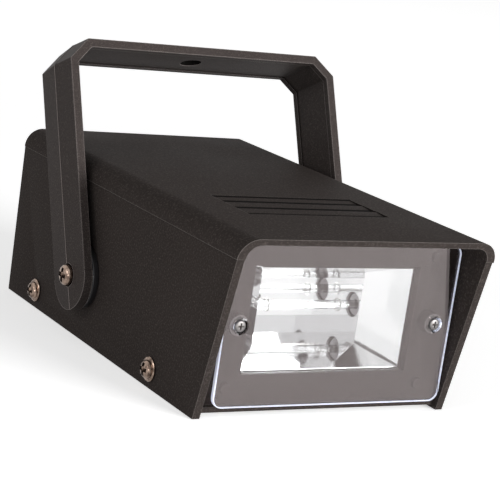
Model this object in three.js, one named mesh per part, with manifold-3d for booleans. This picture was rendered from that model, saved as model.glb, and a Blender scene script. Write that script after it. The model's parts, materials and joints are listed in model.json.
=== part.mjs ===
// A small stage strobe: a black moulded housing with a raked hood, hung in a yoke.
// Millimetres. +Z is up, the light shines towards -Y, and X runs across the housing.
// While a piece is built, y = 0 is the cover's rear edge, and a "reach" is a distance forward of it.
// Heights are measured from the surface that the cover's side walls stand on.

import * as THREE from 'three';
import { mergeVertices } from 'three/addons/utils/BufferGeometryUtils.js';
import Module from 'manifold-3d';

const wasm = await Module();
wasm.setup();

// General values

const degree = Math.PI / 180;
const quarterTurn = 90 * degree;
const halfTurn = 2 * quarterTurn;
const sixthTurn = 60 * degree;
const fullTurn = 4 * quarterTurn;
const seat = 0.3; // gap between two pieces that rest on each other
const overrun = 2; // how far a cut runs past what it cuts
const fineSides = 28;
const mediumSides = 20;
const coarseSides = 12;
const arcSteps = 6;

// Cover: top, rounded long edges, side walls and hood

const coverWidth = 104.5;
const coverHeight = 66.5;
const hoodReach = 175;
const rimLean = 13.2 * degree; // the hood's rim leans forward at the top
const sideWall = 3;
const topWall = 2.2;
const cornerRadius = 7.4;
const skinStep = 0.25; // the rounded edges stand proud of the flat sides and of the side lips
const halfWidth = coverWidth / 2;
const sideFace = halfWidth - skinStep;
const innerHalfWidth = sideFace - sideWall;
const innerTop = coverHeight - topWall;
const cornerHeight = coverHeight - cornerRadius;
const innerCornerRadius = cornerRadius - topWall;

// Louvres in the top of the cover

const louvreCount = 3;
const louvrePitch = 9.2;
const louvreSpan = 59;
const louvreReach = 111.8;
const louvreDepth = 0.8;
const louvreLip = 0.2;
const louvreSlot = 0.5;
const louvreSlotInset = 1.5;

// Tray: floor, rear panel, screw blocks and posts

const trayBottom = 1.3;
const trayFloor = 2;
const trayReach = 157.1;
const panelInset = 1.2;
const panelWall = 2.2;
const trayHalfWidth = innerHalfWidth - seat;
const floorTop = trayBottom + trayFloor;
const panelOuter = -panelInset;
const panelInner = panelOuter - panelWall;
const blockDepth = 7;
const blockLength = 10;
const blockTop = 13;
const ventCount = 6;
const ventWidth = 3;
const ventPitch = 8;
const ventReach = 58;
const ventLength = 44;

// Washer-head screws that hold the cover to the tray

const sideScrewReaches = [26.4, 126];
const sideScrewHeight = 6.9;
const sideScrewShank = 3.5;
const sideScrewLength = 9;
const sideScrewFlange = 8.9;
const sideScrewFlangeThickness = 0.9;
const sideScrewDome = 6.7;
const sideScrewDomeHeight = 1.9;

// Pivot and yoke

const pivotReach = 67.1;
const pivotHeight = 24.4;
const pivotShank = 4;
const pivotHead = 7.9;
const pivotHeadHeight = 3.1;
const pivotHoleRoom = 1.2; // the arm's hole is this much wider than the screw
const pivotPocket = 8.9;
const pivotPocketDepth = 0.8; // below the arm's ridge
const nutAcross = 7;
const nutThickness = 3.2;
const yokeWidth = 117;
const yokeRise = 87.8; // from the pivot to the edges of the cross bar's outer face
const yokeChamfer = 7.8;
const yokeThickness = 3.3;
const yokeDepth = 25.9;
const yokeRidge = 0.7;
const yokeRim = 2.9;
const yokeChannelDepth = 0.4;
const yokeChannelFoot = 17; // the channel stops this far above the pivot
const hangHole = 8.4;
const yokeTilt = 24.7 * degree; // the arms lean back
const spacerDiameter = 24.5;
const spacerBevel = 0.5;
const yokeHalfWidth = yokeWidth / 2;
const armInner = yokeHalfWidth - yokeThickness;
const pivotHole = pivotShank + 2 * seat;

// Front: bezel, clear plate and their fasteners

const bezelReach = 155.4;
const bezelWall = 3;
const bezelCorner = 5;
const bezelBlock = 9;
const bezelBlockHeight = 6.4;
const windowHalfWidth = 33.9;
const windowHeight = 33.2; // height of the light's axis
const windowHalfHeight = 18.9;
const windowNotch = 3;
const windowNotchRise = 0.5;
const plateHalfWidth = 46.7;
const plateBottom = 4.5;
const plateTop = 62.3;
const plateCorner = 3.8;
const plateThickness = 2;
const plateFrontReach = 162.2;
const plateScrewOffset = 40;
const plateScrewHead = 4.3;
const plateScrewHeadHeight = 1.2;
const plateScrewShank = 2.2;
const plateScrewLength = 7.5;
const plateSinkDiameter = 5.2;
const plateSinkDepth = 1.4;
const bossDiameter = 7.5;
const pegDiameter = 4;
const pegRise = 1.6; // how far the pegs stand out of the bezel
const pegFlatShare = 0.45;
const pegOffset = 39.8;
const pegSpread = 23.3; // height of the pegs above and below the light's axis
const bezelScrewOffset = 40;
const bezelScrewHead = 5.6;
const bezelScrewHeadHeight = 1.6;
const bezelScrewShank = 2.6;
const bezelScrewLength = 6;
const bezelPadRise = 1.5;
const bezelBack = bezelReach - bezelWall;

// Reflector and flash tube

const reflectorWall = 1;
const mouthHalfWidth = 33.2;
const mouthHalfHeight = 18.4;
const flangeHalfWidth = 38.6;
const flangeHalfHeight = 21;
const tubeReach = 135.2;
const backReach = 124.8; // the trough's flat back, behind the tube
const backHalfHeight = 7;
const throatHalfWidth = 21.5;
const throatReach = 140;
const tubeHole = 9.2;
const tubeDiameter = 3.2;
const tubeWall = 0.5;
const tubeLength = 48;
const electrodeDepth = 5;
const electrodeCap = 0.6;
const electrodePin = 0.8;
const electrodePinLength = 4.5;
const holderDiameter = 8;
const holderLength = 4;
const triggerWire = 0.5;
const triggerHalfSpan = 15;
const triggerExit = -12;
const triggerTail = 13.9;
const triggerHole = 1.8;
const reflectorScrewHead = 4;
const reflectorScrewHeadHeight = 1.2;
const reflectorScrewShank = 2;
const reflectorScrewLength = 3;
const reflectorScrewInset = 2.6;
const flangeFront = bezelBack - seat;
const flangeBack = flangeFront - reflectorWall;

// Circuit board and what stands on it

const postDiameter = 7;
const postHeight = 5;
const postOffset = 32.5;
const boardThickness = 1.6;
const boardHalfWidth = 36;
const boardRear = 24;
const boardMargin = 7; // from the foremost part to the board's front edge
const boardEdge = 6; // from the board's ends to its screws
const rowGap = 2.5; // between one row of parts and the next
const firstRow = boardRear + boardEdge + seat;
const boardScrewHead = 5.6;
const boardScrewHeadHeight = 1.8;
const boardScrewShank = 2.6;
const boardScrewLength = 5;
const boardBottom = floorTop + postHeight + seat;
const boardTop = boardBottom + boardThickness;
const partFoot = boardTop + seat;
const canDiameter = 18;
const canHeight = 34;
const canOffset = 17;
const canGroove = 0.7;
const canGrooveRise = 2.8; // height of the groove above the can's foot
const filmSize = [18, 8, 15];
const filmOffset = 20;
const coilFlange = 12;
const coilWinding = 9.6;
const coilHeight = 16;
const coilCheek = 1.2;
const resistorSize = [48, 9, 9];
const resistorLift = 3;
const leadThickness = 0.8;
const thyristorBody = [10, 4.5, 9];
const thyristorTab = [10, 1.3, 16];
const thyristorLegRise = 5;
const thyristorOffset = -22;
const diodeDiameter = 2.7;
const diodeLength = 5.2;
const diodeSpan = 12;
const diodeLift = 1.2;
const diodeOffsets = [-4.5, 4.5];
const terminalSize = [12, 8, 10];
const terminalOffset = -19;
const terminalMouth = 3;
const fuseDiameter = 5;
const fuseLength = 20;
const fuseLift = 1.6;
const fuseOffset = 23;
const clipLength = 5;
const clipWall = 0.6;
const fuseGlassShare = 0.9; // of the caps' diameter
const terminalReach = firstRow + terminalSize[1] / 2;
const diodeReach = firstRow + diodeSpan / 2;
const fuseReach = firstRow + fuseLength / 2;
const resistorReach = firstRow + fuseLength + rowGap + resistorSize[1] / 2;
const secondRow = resistorReach + resistorSize[1] / 2 + rowGap;
const thyristorReach = secondRow + thyristorBody[1] / 2;
const filmReach = secondRow + filmSize[1] / 2;
const canReach = secondRow + filmSize[1] + rowGap + canDiameter / 2;
const coilReach = canReach + canDiameter / 2 + rowGap + coilFlange / 2;
const boardFront = coilReach + coilFlange / 2 + boardMargin;

// Rear panel: speed control and cable gland

const controlOffset = 26;
const controlHeight = 38;
const controlBody = 16.5;
const controlDepth = 9;
const bushingDiameter = 7;
const bushingEnd = 2.5; // how far the bushing stands behind the cover's rear edge
const controlNutAcross = 10;
const controlNutThickness = 2;
const shaftDiameter = 5.6;
const shaftEnd = 11;
const tabSize = [2, 1, 4.5];
const tabPitch = 4;
const knobStart = 3;
const knobEnd = 13;
const knobDiameter = 14;
const knobSkirt = 16.5;
const knobSkirtLength = 2.4;
const knobFlutes = 16;
const knobFluteDepthShare = 0.06;
const knobPointer = 1.2;
const glandOffset = -26;
const glandHeight = 24;
const glandThread = 12;
const glandHexAcross = 15;
const glandHexLength = 4.5;
const glandDome = 12.6;
const glandMouth = 9.6;
const glandEnd = 11.5;
const glandBore = 6.6;
const glandThreadLength = 8;
const glandNutThickness = 3;

// Wiring

const lampLeadDiameter = 1.6;
const ribbonWidth = 6;
const ribbonThickness = 1.2;
const leadRise = 6.2; // how far a lead stands straight up from where it ends
const lampLeadSweep = 3.9; // how far a lamp lead swings out on its way down
const lampLeadInset = 10;
const triggerLeadRise = 1.8;
const ribbonBend = 5;
const leadSteps = 24;
const leadSides = 8;

// Helpers that turn three.js shapes into solids

/** A closed solid from a closed three.js geometry, with its doubled points merged. */
function solidFrom(geometry) {
  const bare = geometry.clone();
  bare.deleteAttribute('normal');
  bare.deleteAttribute('uv');
  const merged = mergeVertices(bare);
  const corners = Array.from(merged.index.array);
  const kept = [];
  for (let i = 0; i < corners.length; i += 3) {
    const [a, b, c] = corners.slice(i, i + 3);
    if (a !== b && b !== c && c !== a) kept.push(a, b, c);
  }
  const vertProperties = Float32Array.from(merged.attributes.position.array);
  const triVerts = Uint32Array.from(kept);
  return new wasm.Manifold(new wasm.Mesh({ numProp: 3, vertProperties, triVerts }));
}

/** A three.js geometry with flat facets from a solid. */
function geometryFrom(solid) {
  const { vertProperties, triVerts } = solid.getMesh();
  const indexed = new THREE.BufferGeometry();
  indexed.setAttribute('position', new THREE.BufferAttribute(vertProperties, 3));
  indexed.setIndex(new THREE.BufferAttribute(triVerts, 1));
  const geometry = indexed.toNonIndexed();
  geometry.computeVertexNormals();
  return geometry;
}

/** Joins several solids into one. */
function joined(...solids) {
  return solids.reduce((sum, next) => sum.add(next));
}

/** Cuts several solids out of the first. */
function cut(body, ...tools) {
  return tools.reduce((rest, tool) => rest.subtract(tool), body);
}

/** A box between two values on each axis. */
function box([x0, x1], [y0, y1], [z0, z1]) {
  const geometry = new THREE.BoxGeometry(x1 - x0, y1 - y0, z1 - z0);
  geometry.translate((x0 + x1) / 2, (y0 + y1) / 2, (z0 + z1) / 2);
  return solidFrom(geometry);
}

/** A box that stands on a height, centred over a place, from its three sizes. */
function boxOn([width, length, height], [x, reach], foot) {
  return box(
    [x - width / 2, x + width / 2],
    [-reach - length / 2, -reach + length / 2],
    [foot, foot + height],
  );
}

/** Extrudes a shape drawn in X and Z along Y, from one y to another. */
function alongY(shape, y0, y1) {
  const settings = { depth: y1 - y0, bevelEnabled: false, curveSegments: arcSteps };
  const geometry = new THREE.ExtrudeGeometry(shape, settings);
  geometry.rotateX(quarterTurn);
  geometry.translate(0, y1, 0);
  return solidFrom(geometry);
}

/** Extrudes a shape drawn in Y and Z along X, from one x to another. */
function alongX(shape, x0, x1) {
  const settings = { depth: x1 - x0, bevelEnabled: false, curveSegments: fineSides };
  const geometry = new THREE.ExtrudeGeometry(shape, settings);
  const turn = new THREE.Matrix4().set(0, 0, 1, x0, 1, 0, 0, 0, 0, 1, 0, 0, 0, 0, 0, 1);
  geometry.applyMatrix4(turn);
  return solidFrom(geometry);
}

/** Extrudes a shape drawn in X and Y along Z, from one z to another. */
function alongZ(shape, z0, z1) {
  const settings = { depth: z1 - z0, bevelEnabled: false, curveSegments: arcSteps };
  const geometry = new THREE.ExtrudeGeometry(shape, settings);
  geometry.translate(0, 0, z0);
  return solidFrom(geometry);
}

/** A shape from a list of points. */
function outline(points) {
  return new THREE.Shape(points.map(([u, v]) => new THREE.Vector2(u, v)));
}

/** A rectangle with rounded corners, given by its sides. */
function roundedRectangle(u0, u1, v0, v1, radius) {
  const shape = new THREE.Shape();
  shape.absarc(u0 + radius, v0 + radius, radius, halfTurn, halfTurn + quarterTurn);
  shape.absarc(u1 - radius, v0 + radius, radius, halfTurn + quarterTurn, fullTurn);
  shape.absarc(u1 - radius, v1 - radius, radius, 0, quarterTurn);
  shape.absarc(u0 + radius, v1 - radius, radius, quarterTurn, halfTurn);
  return shape;
}

/** Spins a profile of [radius, place] pairs about an axis, and moves it to a point. */
function spun(profile, axis, [x, y, z], sides) {
  const points = profile.map(([radius, place]) => new THREE.Vector2(radius, place));
  const geometry = new THREE.LatheGeometry(points, sides);
  const turns = {
    x: () => geometry.rotateZ(-quarterTurn),
    y: () => geometry,
    z: () => geometry.rotateX(quarterTurn),
  };
  turns[axis]();
  geometry.translate(x, y, z);
  return solidFrom(geometry);
}

/** A round rod along an axis, between two values on it, through a point. */
function rod(diameter, axis, [start, end], point, sides) {
  const radius = diameter / 2;
  const profile = [[0, start], [radius, start], [radius, end], [0, end]];
  const origin = { x: [0, point[0], point[1]], y: [point[0], 0, point[1]], z: [point[0], point[1], 0] };
  return spun(profile, axis, origin[axis], sides);
}

/** A hexagon across its flats, drawn about a point. */
function hexagon(across, [u, v]) {
  const radius = across / 2 / Math.cos(sixthTurn / 2);
  const corner = (i) => [u + radius * Math.cos(i * sixthTurn), v + radius * Math.sin(i * sixthTurn)];
  return outline([0, 1, 2, 3, 4, 5].map(corner));
}

/** A copy mirrored to the other side of the housing. */
function mirrored(solid) {
  return solid.mirror([1, 0, 0]);
}

/** The profile of a pan head with its shank: the head's seat is at place 0 and the head points up. */
function panProfile(head, headHeight, shank, length) {
  const crownShare = 0.72;
  const shoulderShare = 0.45;
  const tipShare = 0.25;
  return [
    [0, -length],
    [(shank / 2) * (1 - tipShare), -length],
    [shank / 2, -length + shank * tipShare],
    [shank / 2, 0],
    [head / 2, 0],
    [head / 2, headHeight * shoulderShare],
    [(head / 2) * crownShare, headHeight],
    [0, headHeight],
  ];
}

/** A cross recess as two crossed bars, in a head whose top is at a place along the axis Z. */
function crossRecess(head, top) {
  const armShare = 0.3;
  const widthShare = 0.1;
  const depthShare = 0.22;
  const reach = head * armShare;
  const width = head * widthShare;
  const floor = top - head * depthShare;
  const bar = box([-reach, reach], [-width / 2, width / 2], [floor, top + overrun]);
  return joined(bar, bar.rotate([0, 0, 90]));
}

/** A pan-head cross screw that stands on its tip along Z, with its seat at the origin. */
function panScrew(head, headHeight, shank, length, sides) {
  const profile = panProfile(head, headHeight, shank, length);
  return cut(spun(profile, 'y', [0, 0, 0], sides).rotate([90, 0, 0]), crossRecess(head, headHeight));
}

/** Turns a screw that points up so that its head points along an axis, and moves its seat. */
function screwTowards(direction, screw, [x, y, z]) {
  const turns = {
    left: [0, -90, 0],
    right: [0, 90, 0],
    front: [90, 0, 0],
    rear: [-90, 0, 0],
    down: [180, 0, 0],
    up: [0, 0, 0],
  };
  return screw.rotate(turns[direction]).translate([x, y, z]);
}

/** A round wire along a smooth curve through points. */
function wire(points, diameter) {
  const route = new THREE.CatmullRomCurve3(points.map(([x, y, z]) => new THREE.Vector3(x, y, z)));
  const section = new THREE.Shape();
  section.absarc(0, 0, diameter / 2, 0, fullTurn);
  const settings = { steps: leadSteps, extrudePath: route, curveSegments: leadSides / 2 };
  return solidFrom(new THREE.ExtrudeGeometry(section, settings));
}

// Cover

/** How far forward the hood's rim lies at a height. */
function rimReach(height) {
  return hoodReach - (coverHeight - height) * Math.tan(rimLean);
}

/** The cover's section across the housing: outer skin, then the inner faces. */
function coverSection() {
  const shape = new THREE.Shape();
  const cornerCentre = halfWidth - cornerRadius;
  const innerCentre = innerHalfWidth - innerCornerRadius;
  const innerCornerHeight = innerTop - innerCornerRadius;
  shape.moveTo(sideFace, 0);
  shape.lineTo(sideFace, cornerHeight);
  shape.absarc(cornerCentre, cornerHeight, cornerRadius, 0, quarterTurn);
  shape.absarc(-cornerCentre, cornerHeight, cornerRadius, quarterTurn, halfTurn);
  shape.lineTo(-sideFace, cornerHeight);
  shape.lineTo(-sideFace, 0);
  shape.lineTo(-innerHalfWidth, 0);
  shape.lineTo(-innerHalfWidth, innerCornerHeight);
  shape.absarc(-innerCentre, innerCornerHeight, innerCornerRadius, halfTurn, quarterTurn, true);
  shape.absarc(innerCentre, innerCornerHeight, innerCornerRadius, quarterTurn, 0, true);
  shape.lineTo(innerHalfWidth, 0);
  return shape;
}

/** The cover seen from the side: the raked rim, with the side lips a step behind the rounded edges. */
function coverSilhouette() {
  const slope = Math.tan(rimLean);
  return outline([
    [0, -overrun],
    [-rimReach(-overrun) + skinStep, -overrun],
    [-rimReach(cornerHeight) + skinStep, cornerHeight],
    [-rimReach(cornerHeight), cornerHeight],
    [-hoodReach - overrun * slope, coverHeight + overrun],
    [0, coverHeight + overrun],
  ]);
}

/** One louvre's cut: a slat that falls forward from a low step, a front wall, and a slot at the wall's foot. */
function louvreCut(index) {
  const rear = louvreReach + index * louvrePitch;
  const front = rear + louvrePitch;
  const above = coverHeight + overrun;
  const slat = outline([
    [-rear, above],
    [-front, above],
    [-front, coverHeight - louvreDepth],
    [-rear, coverHeight - louvreLip],
  ]);
  const slotHalf = louvreSpan / 2 - louvreSlotInset;
  const slot = box([-slotHalf, slotHalf], [-front, louvreSlot - front], [innerTop - overrun, coverHeight]);
  return joined(alongX(slat, -louvreSpan / 2, louvreSpan / 2), slot);
}

/** The holes through one side wall: two for the washer-head screws and one for the pivot. */
function sideHoles() {
  const span = [innerHalfWidth - overrun, halfWidth + overrun];
  const screwHole = (reach) =>
    rod(sideScrewShank + 2 * seat, 'x', span, [-reach, sideScrewHeight], coarseSides);
  const holes = sideScrewReaches.map(screwHole);
  return joined(...holes, rod(pivotHole, 'x', span, [-pivotReach, pivotHeight], mediumSides));
}

/** The cover: a U-shaped shell whose front end is the hood. */
function coverSolid() {
  const shell = alongY(coverSection(), -hoodReach - overrun, 0);
  const trimmed = shell.intersect(alongX(coverSilhouette(), -coverWidth, coverWidth));
  const louvres = Array.from({ length: louvreCount }, (_, i) => louvreCut(i));
  const holes = sideHoles();
  return cut(trimmed, ...louvres, holes, mirrored(holes));
}

// Tray

/** The rear panel's outline, which follows the inside of the cover. */
function panelOutline() {
  const radius = innerCornerRadius - seat;
  const top = innerTop - seat;
  const shape = new THREE.Shape();
  shape.moveTo(-trayHalfWidth, trayBottom);
  shape.lineTo(trayHalfWidth, trayBottom);
  shape.absarc(trayHalfWidth - radius, top - radius, radius, 0, quarterTurn);
  shape.absarc(-trayHalfWidth + radius, top - radius, radius, quarterTurn, halfTurn);
  return shape;
}

/** The block that a washer-head screw bites into, on the right side. */
function screwBlock(reach) {
  const block = box(
    [trayHalfWidth - blockDepth, trayHalfWidth],
    [-reach - blockLength / 2, -reach + blockLength / 2],
    [trayBottom, blockTop],
  );
  const span = [trayHalfWidth - blockDepth - overrun, trayHalfWidth + overrun];
  return cut(block, rod(sideScrewShank + 2 * seat, 'x', span, [-reach, sideScrewHeight], coarseSides));
}

/** The four places of the circuit board's screws, as [x, y]. */
function postPlaces() {
  const reaches = [boardRear + boardEdge, boardFront - boardEdge];
  return reaches.flatMap((reach) => [-postOffset, postOffset].map((x) => [x, -reach]));
}

/** A post under the circuit board, with its screw hole. */
function post([x, y]) {
  const top = floorTop + postHeight;
  const body = rod(postDiameter, 'z', [trayBottom, top], [x, y], coarseSides);
  const hole = rod(boardScrewShank + 2 * seat, 'z', [floorTop, top + overrun], [x, y], coarseSides);
  return cut(body, hole);
}

/** The y of the screws that hold the bezel to the tray. */
function bezelScrewPlace() {
  return -bezelBack + bezelBlock / 2;
}

/** The thickened pad round a bezel screw, on one side. */
function bezelPad(side) {
  const reach = bezelBack - bezelBlock / 2;
  const size = [bezelBlock, bezelBlock, trayFloor + bezelPadRise];
  return boxOn(size, [side * bezelScrewOffset, reach], trayBottom);
}

/** The stepped hole for a bezel screw, from below, on one side. */
function bezelPadHole(side) {
  const place = [side * bezelScrewOffset, bezelScrewPlace()];
  const padTop = floorTop + bezelPadRise;
  const sink = trayBottom + bezelScrewHeadHeight + seat;
  const wide = rod(bezelScrewHead + 2 * seat, 'z', [trayBottom - overrun, sink], place, coarseSides);
  const narrow = rod(bezelScrewShank + 2 * seat, 'z', [trayBottom, padTop + overrun], place, coarseSides);
  return joined(wide, narrow);
}

/** One air slot in the tray's floor. */
function ventCut(index) {
  const x = (index - (ventCount - 1) / 2) * ventPitch;
  return box(
    [x - ventWidth / 2, x + ventWidth / 2],
    [-ventReach - ventLength, -ventReach],
    [trayBottom - overrun, floorTop + overrun],
  );
}

/** The tray: the floor with its upright rear panel, blocks and posts. */
function traySolid() {
  const floor = box([-trayHalfWidth, trayHalfWidth], [-trayReach, panelOuter], [trayBottom, floorTop]);
  const panel = alongY(panelOutline(), panelInner, panelOuter);
  const blocks = sideScrewReaches.map(screwBlock);
  const posts = postPlaces().map(post);
  const pads = [-1, 1].map(bezelPad);
  const body = joined(floor, panel, ...blocks, ...blocks.map(mirrored), ...posts, ...pads);
  const span = [panelInner - overrun, panelOuter + overrun];
  const controlHole = rod(bushingDiameter + 2 * seat, 'y', span, [controlOffset, controlHeight], mediumSides);
  const glandHole = rod(glandThread + 2 * seat, 'y', span, [glandOffset, glandHeight], mediumSides);
  const vents = Array.from({ length: ventCount }, (_, i) => ventCut(i));
  return cut(body, controlHole, glandHole, ...vents, ...[-1, 1].map(bezelPadHole));
}

// Cover screws, pivot and yoke

/** A washer-head screw with its head pointing left or right, at one reach. */
function sideScrewSolid(side, reach) {
  const flangeRadius = sideScrewFlange / 2;
  const domeRadius = sideScrewDome / 2;
  const top = sideScrewFlangeThickness + sideScrewDomeHeight;
  const crownShare = 0.55;
  const hipShare = 0.9;
  const profile = [
    [0, -sideScrewLength],
    [sideScrewShank / 2, -sideScrewLength + sideScrewShank / 2],
    [sideScrewShank / 2, 0],
    [flangeRadius, 0],
    [flangeRadius, sideScrewFlangeThickness / 2],
    [domeRadius, sideScrewFlangeThickness],
    [domeRadius * hipShare, (sideScrewFlangeThickness + top) / 2],
    [domeRadius * crownShare, top],
    [0, top],
  ];
  const upright = spun(profile, 'y', [0, 0, 0], mediumSides).rotate([90, 0, 0]);
  const screw = cut(upright, crossRecess(sideScrewDome, top));
  const seatFace = sideFace + seat / 2;
  return screwTowards(side < 0 ? 'left' : 'right', screw, [side * seatFace, -reach, sideScrewHeight]);
}

/** The screw that an arm turns on. */
function pivotScrewSolid(side) {
  const seatFace = yokeHalfWidth + yokeRidge - pivotPocketDepth + seat / 2;
  const nutEnd = innerHalfWidth - seat - nutThickness;
  const screw = panScrew(pivotHead, pivotHeadHeight, pivotShank, seatFace - nutEnd, mediumSides);
  return screwTowards(side < 0 ? 'left' : 'right', screw, [side * seatFace, -pivotReach, pivotHeight]);
}

/** The disc between an arm and the side of the cover. */
function spacerSolid(side) {
  const start = sideFace + seat;
  const end = armInner - seat;
  const radius = spacerDiameter / 2;
  const profile = [
    [0, start],
    [radius, start],
    [radius, end - spacerBevel],
    [radius - spacerBevel, end],
    [0, end],
  ];
  const disc = spun(profile, 'x', [0, -pivotReach, pivotHeight], fineSides);
  const hole = rod(pivotHole, 'x', [start - overrun, end + overrun], [-pivotReach, pivotHeight], mediumSides);
  return side < 0 ? mirrored(cut(disc, hole)) : cut(disc, hole);
}

/** The nut inside the cover that holds a pivot screw. */
function pivotNutSolid(side) {
  const end = innerHalfWidth - seat;
  const start = end - nutThickness;
  const nut = alongX(hexagon(nutAcross, [-pivotReach, pivotHeight]), start, end);
  const hole = rod(pivotHole, 'x', [start - overrun, end + overrun], [-pivotReach, pivotHeight], mediumSides);
  return side < 0 ? mirrored(cut(nut, hole)) : cut(nut, hole);
}

/** The yoke's path from the left foot to the right foot, moved inward by an offset, as [x, up]. */
function yokePath(offset, foot) {
  const half = yokeHalfWidth - offset;
  const top = yokeRise - offset;
  const chamfer = yokeChamfer - offset * (1 - Math.tan(quarterTurn / 4));
  return [
    [-half, foot],
    [-half, top - chamfer],
    [-half + chamfer, top],
    [half - chamfer, top],
    [half, top - chamfer],
    [half, foot],
  ];
}

/** Joins outlines of equal length, each at its own y, into one solid. */
function lofted(sections) {
  const count = sections[0].points.length;
  const flat = sections[0].points.map(([x, z]) => new THREE.Vector2(x, z));
  const clockwise = THREE.ShapeUtils.isClockWise(flat);
  if (clockwise) flat.reverse();
  const turned = (points) => (clockwise ? [...points].reverse() : points);
  const ordered = sections.map(({ y, points }) => ({ y, points: turned(points) }));
  const positions = ordered.flatMap(({ y, points }) => points.flatMap(([x, z]) => [x, y, z]));
  const faces = [];
  const last = (sections.length - 1) * count;
  for (const [a, b, c] of THREE.ShapeUtils.triangulateShape(flat, [])) {
    faces.push([a, b, c], [last + a, last + c, last + b]);
  }
  for (let s = 0; s < sections.length - 1; s += 1) {
    for (let i = 0; i < count; i += 1) {
      const a = s * count + i;
      const b = s * count + ((i + 1) % count);
      faces.push([a, a + count, b], [b, a + count, b + count]);
    }
  }
  const geometry = new THREE.BufferGeometry();
  geometry.setAttribute('position', new THREE.Float32BufferAttribute(positions, 3));
  geometry.setIndex(faces.flat());
  return solidFrom(geometry);
}

/** The yoke upright about its pivot at the origin: ridged outside, with a channel inside. */
function yokeSolid() {
  const foot = -yokeDepth;
  const halfDepth = yokeDepth / 2;
  const ring = (offset) => [...yokePath(offset, foot), ...yokePath(yokeThickness, foot).reverse()];
  const bent = lofted([
    { y: -halfDepth, points: ring(0) },
    { y: 0, points: ring(-yokeRidge) },
    { y: halfDepth, points: ring(0) },
  ]);
  const side = new THREE.Shape();
  side.absarc(0, 0, halfDepth, halfTurn, fullTurn);
  side.lineTo(halfDepth, yokeRise + overrun);
  side.lineTo(-halfDepth, yokeRise + overrun);
  const trimmed = bent.intersect(alongX(side, -yokeWidth, yokeWidth));
  const channelOuter = yokePath(yokeThickness - yokeChannelDepth, yokeChannelFoot);
  const channelInner = yokePath(yokeThickness + overrun, yokeChannelFoot);
  const channel = outline([...channelOuter, ...channelInner.reverse()]);
  const channelHalf = halfDepth - yokeRim;
  const pivotHoles = rod(pivotShank + pivotHoleRoom, 'x', [-yokeWidth, yokeWidth], [0, 0], mediumSides);
  const pocketFloor = yokeHalfWidth + yokeRidge - pivotPocketDepth;
  const pocket = rod(pivotPocket, 'x', [pocketFloor, yokeWidth], [0, 0], mediumSides);
  const barHole = rod(hangHole, 'z', [0, yokeRise + overrun], [0, 0], mediumSides);
  const channelCut = alongY(channel, -channelHalf, channelHalf);
  return cut(trimmed, channelCut, pivotHoles, pocket, mirrored(pocket), barHole);
}

// Bezel, clear plate and their fasteners

/** The heights and sides at which something sits about the light's axis. */
function cornersAbout(offset, spread) {
  return [-1, 1].flatMap((side) => [-1, 1].map((rise) => [side * offset, windowHeight + rise * spread]));
}

/** A short D-shaped peg on the front of the bezel. */
function peg([x, z]) {
  const end = bezelReach + pegRise;
  const side = Math.sign(x);
  const body = rod(pegDiameter, 'y', [-end, -bezelReach + seat], [x, z], coarseSides);
  const flat = x - side * pegDiameter * pegFlatShare;
  const beyond = flat - side * pegDiameter;
  const span = [Math.min(flat, beyond), Math.max(flat, beyond)];
  return cut(body, box(span, [-hoodReach, 0], [0, coverHeight]));
}

/** The screw boss under the clear plate, on one side. */
function plateBoss(side) {
  const end = plateFrontReach - plateThickness - seat;
  const place = [side * plateScrewOffset, windowHeight];
  return rod(bossDiameter, 'y', [-end, -bezelReach + seat], place, mediumSides);
}

/** The block behind the bezel's foot that its screw goes up into, on one side. */
function bezelFoot(side) {
  const foot = floorTop + bezelPadRise + seat;
  const reach = bezelBack - bezelBlock / 2 + overrun / 2;
  const length = bezelBlock + overrun;
  const block = boxOn([bezelBlock, length, bezelBlockHeight], [side * bezelScrewOffset, reach], foot);
  const top = foot + bezelBlockHeight;
  const hole = rod(
    bezelScrewShank + 2 * seat,
    'z',
    [foot - overrun, top - overrun],
    [side * bezelScrewOffset, bezelScrewPlace()],
    coarseSides,
  );
  return cut(block, hole);
}

/** The bezel: the black frame round the reflector's mouth. */
function bezelSolid() {
  const top = innerTop - seat;
  const bottom = floorTop + seat;
  const halfBezel = innerHalfWidth - seat;
  const upper = roundedRectangle(-halfBezel, halfBezel, bottom, top, bezelCorner);
  const plate = joined(
    alongY(upper, -bezelReach, -bezelBack),
    box([-halfBezel, halfBezel], [-bezelReach, -bezelBack], [bottom, bottom + bezelCorner]),
  );
  const depth = [-bezelReach - overrun, -bezelBack + overrun];
  const low = windowHeight - windowHalfHeight;
  const high = windowHeight + windowHalfHeight;
  const window = box([-windowHalfWidth, windowHalfWidth], depth, [low, high]);
  const notch = box([windowHalfWidth - windowNotch, windowHalfWidth], depth, [low, high + windowNotchRise]);
  const bosses = [-1, 1].map(plateBoss);
  const pegs = cornersAbout(pegOffset, pegSpread).map(peg);
  const feet = [-1, 1].map(bezelFoot);
  const body = joined(cut(plate, window, notch, mirrored(notch)), ...bosses, ...pegs, ...feet);
  const bossHole = (side) =>
    rod(
      plateScrewShank + 2 * seat,
      'y',
      [-plateFrontReach, -bezelBack - seat],
      [side * plateScrewOffset, windowHeight],
      coarseSides,
    );
  const screwSpan = [-bezelBack - reflectorScrewLength + seat, 0];
  const screwHoles = reflectorScrewPlaces().map((place) =>
    rod(reflectorScrewShank + 2 * seat, 'y', screwSpan, place, coarseSides),
  );
  return cut(body, ...[-1, 1].map(bossHole), ...screwHoles);
}

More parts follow.
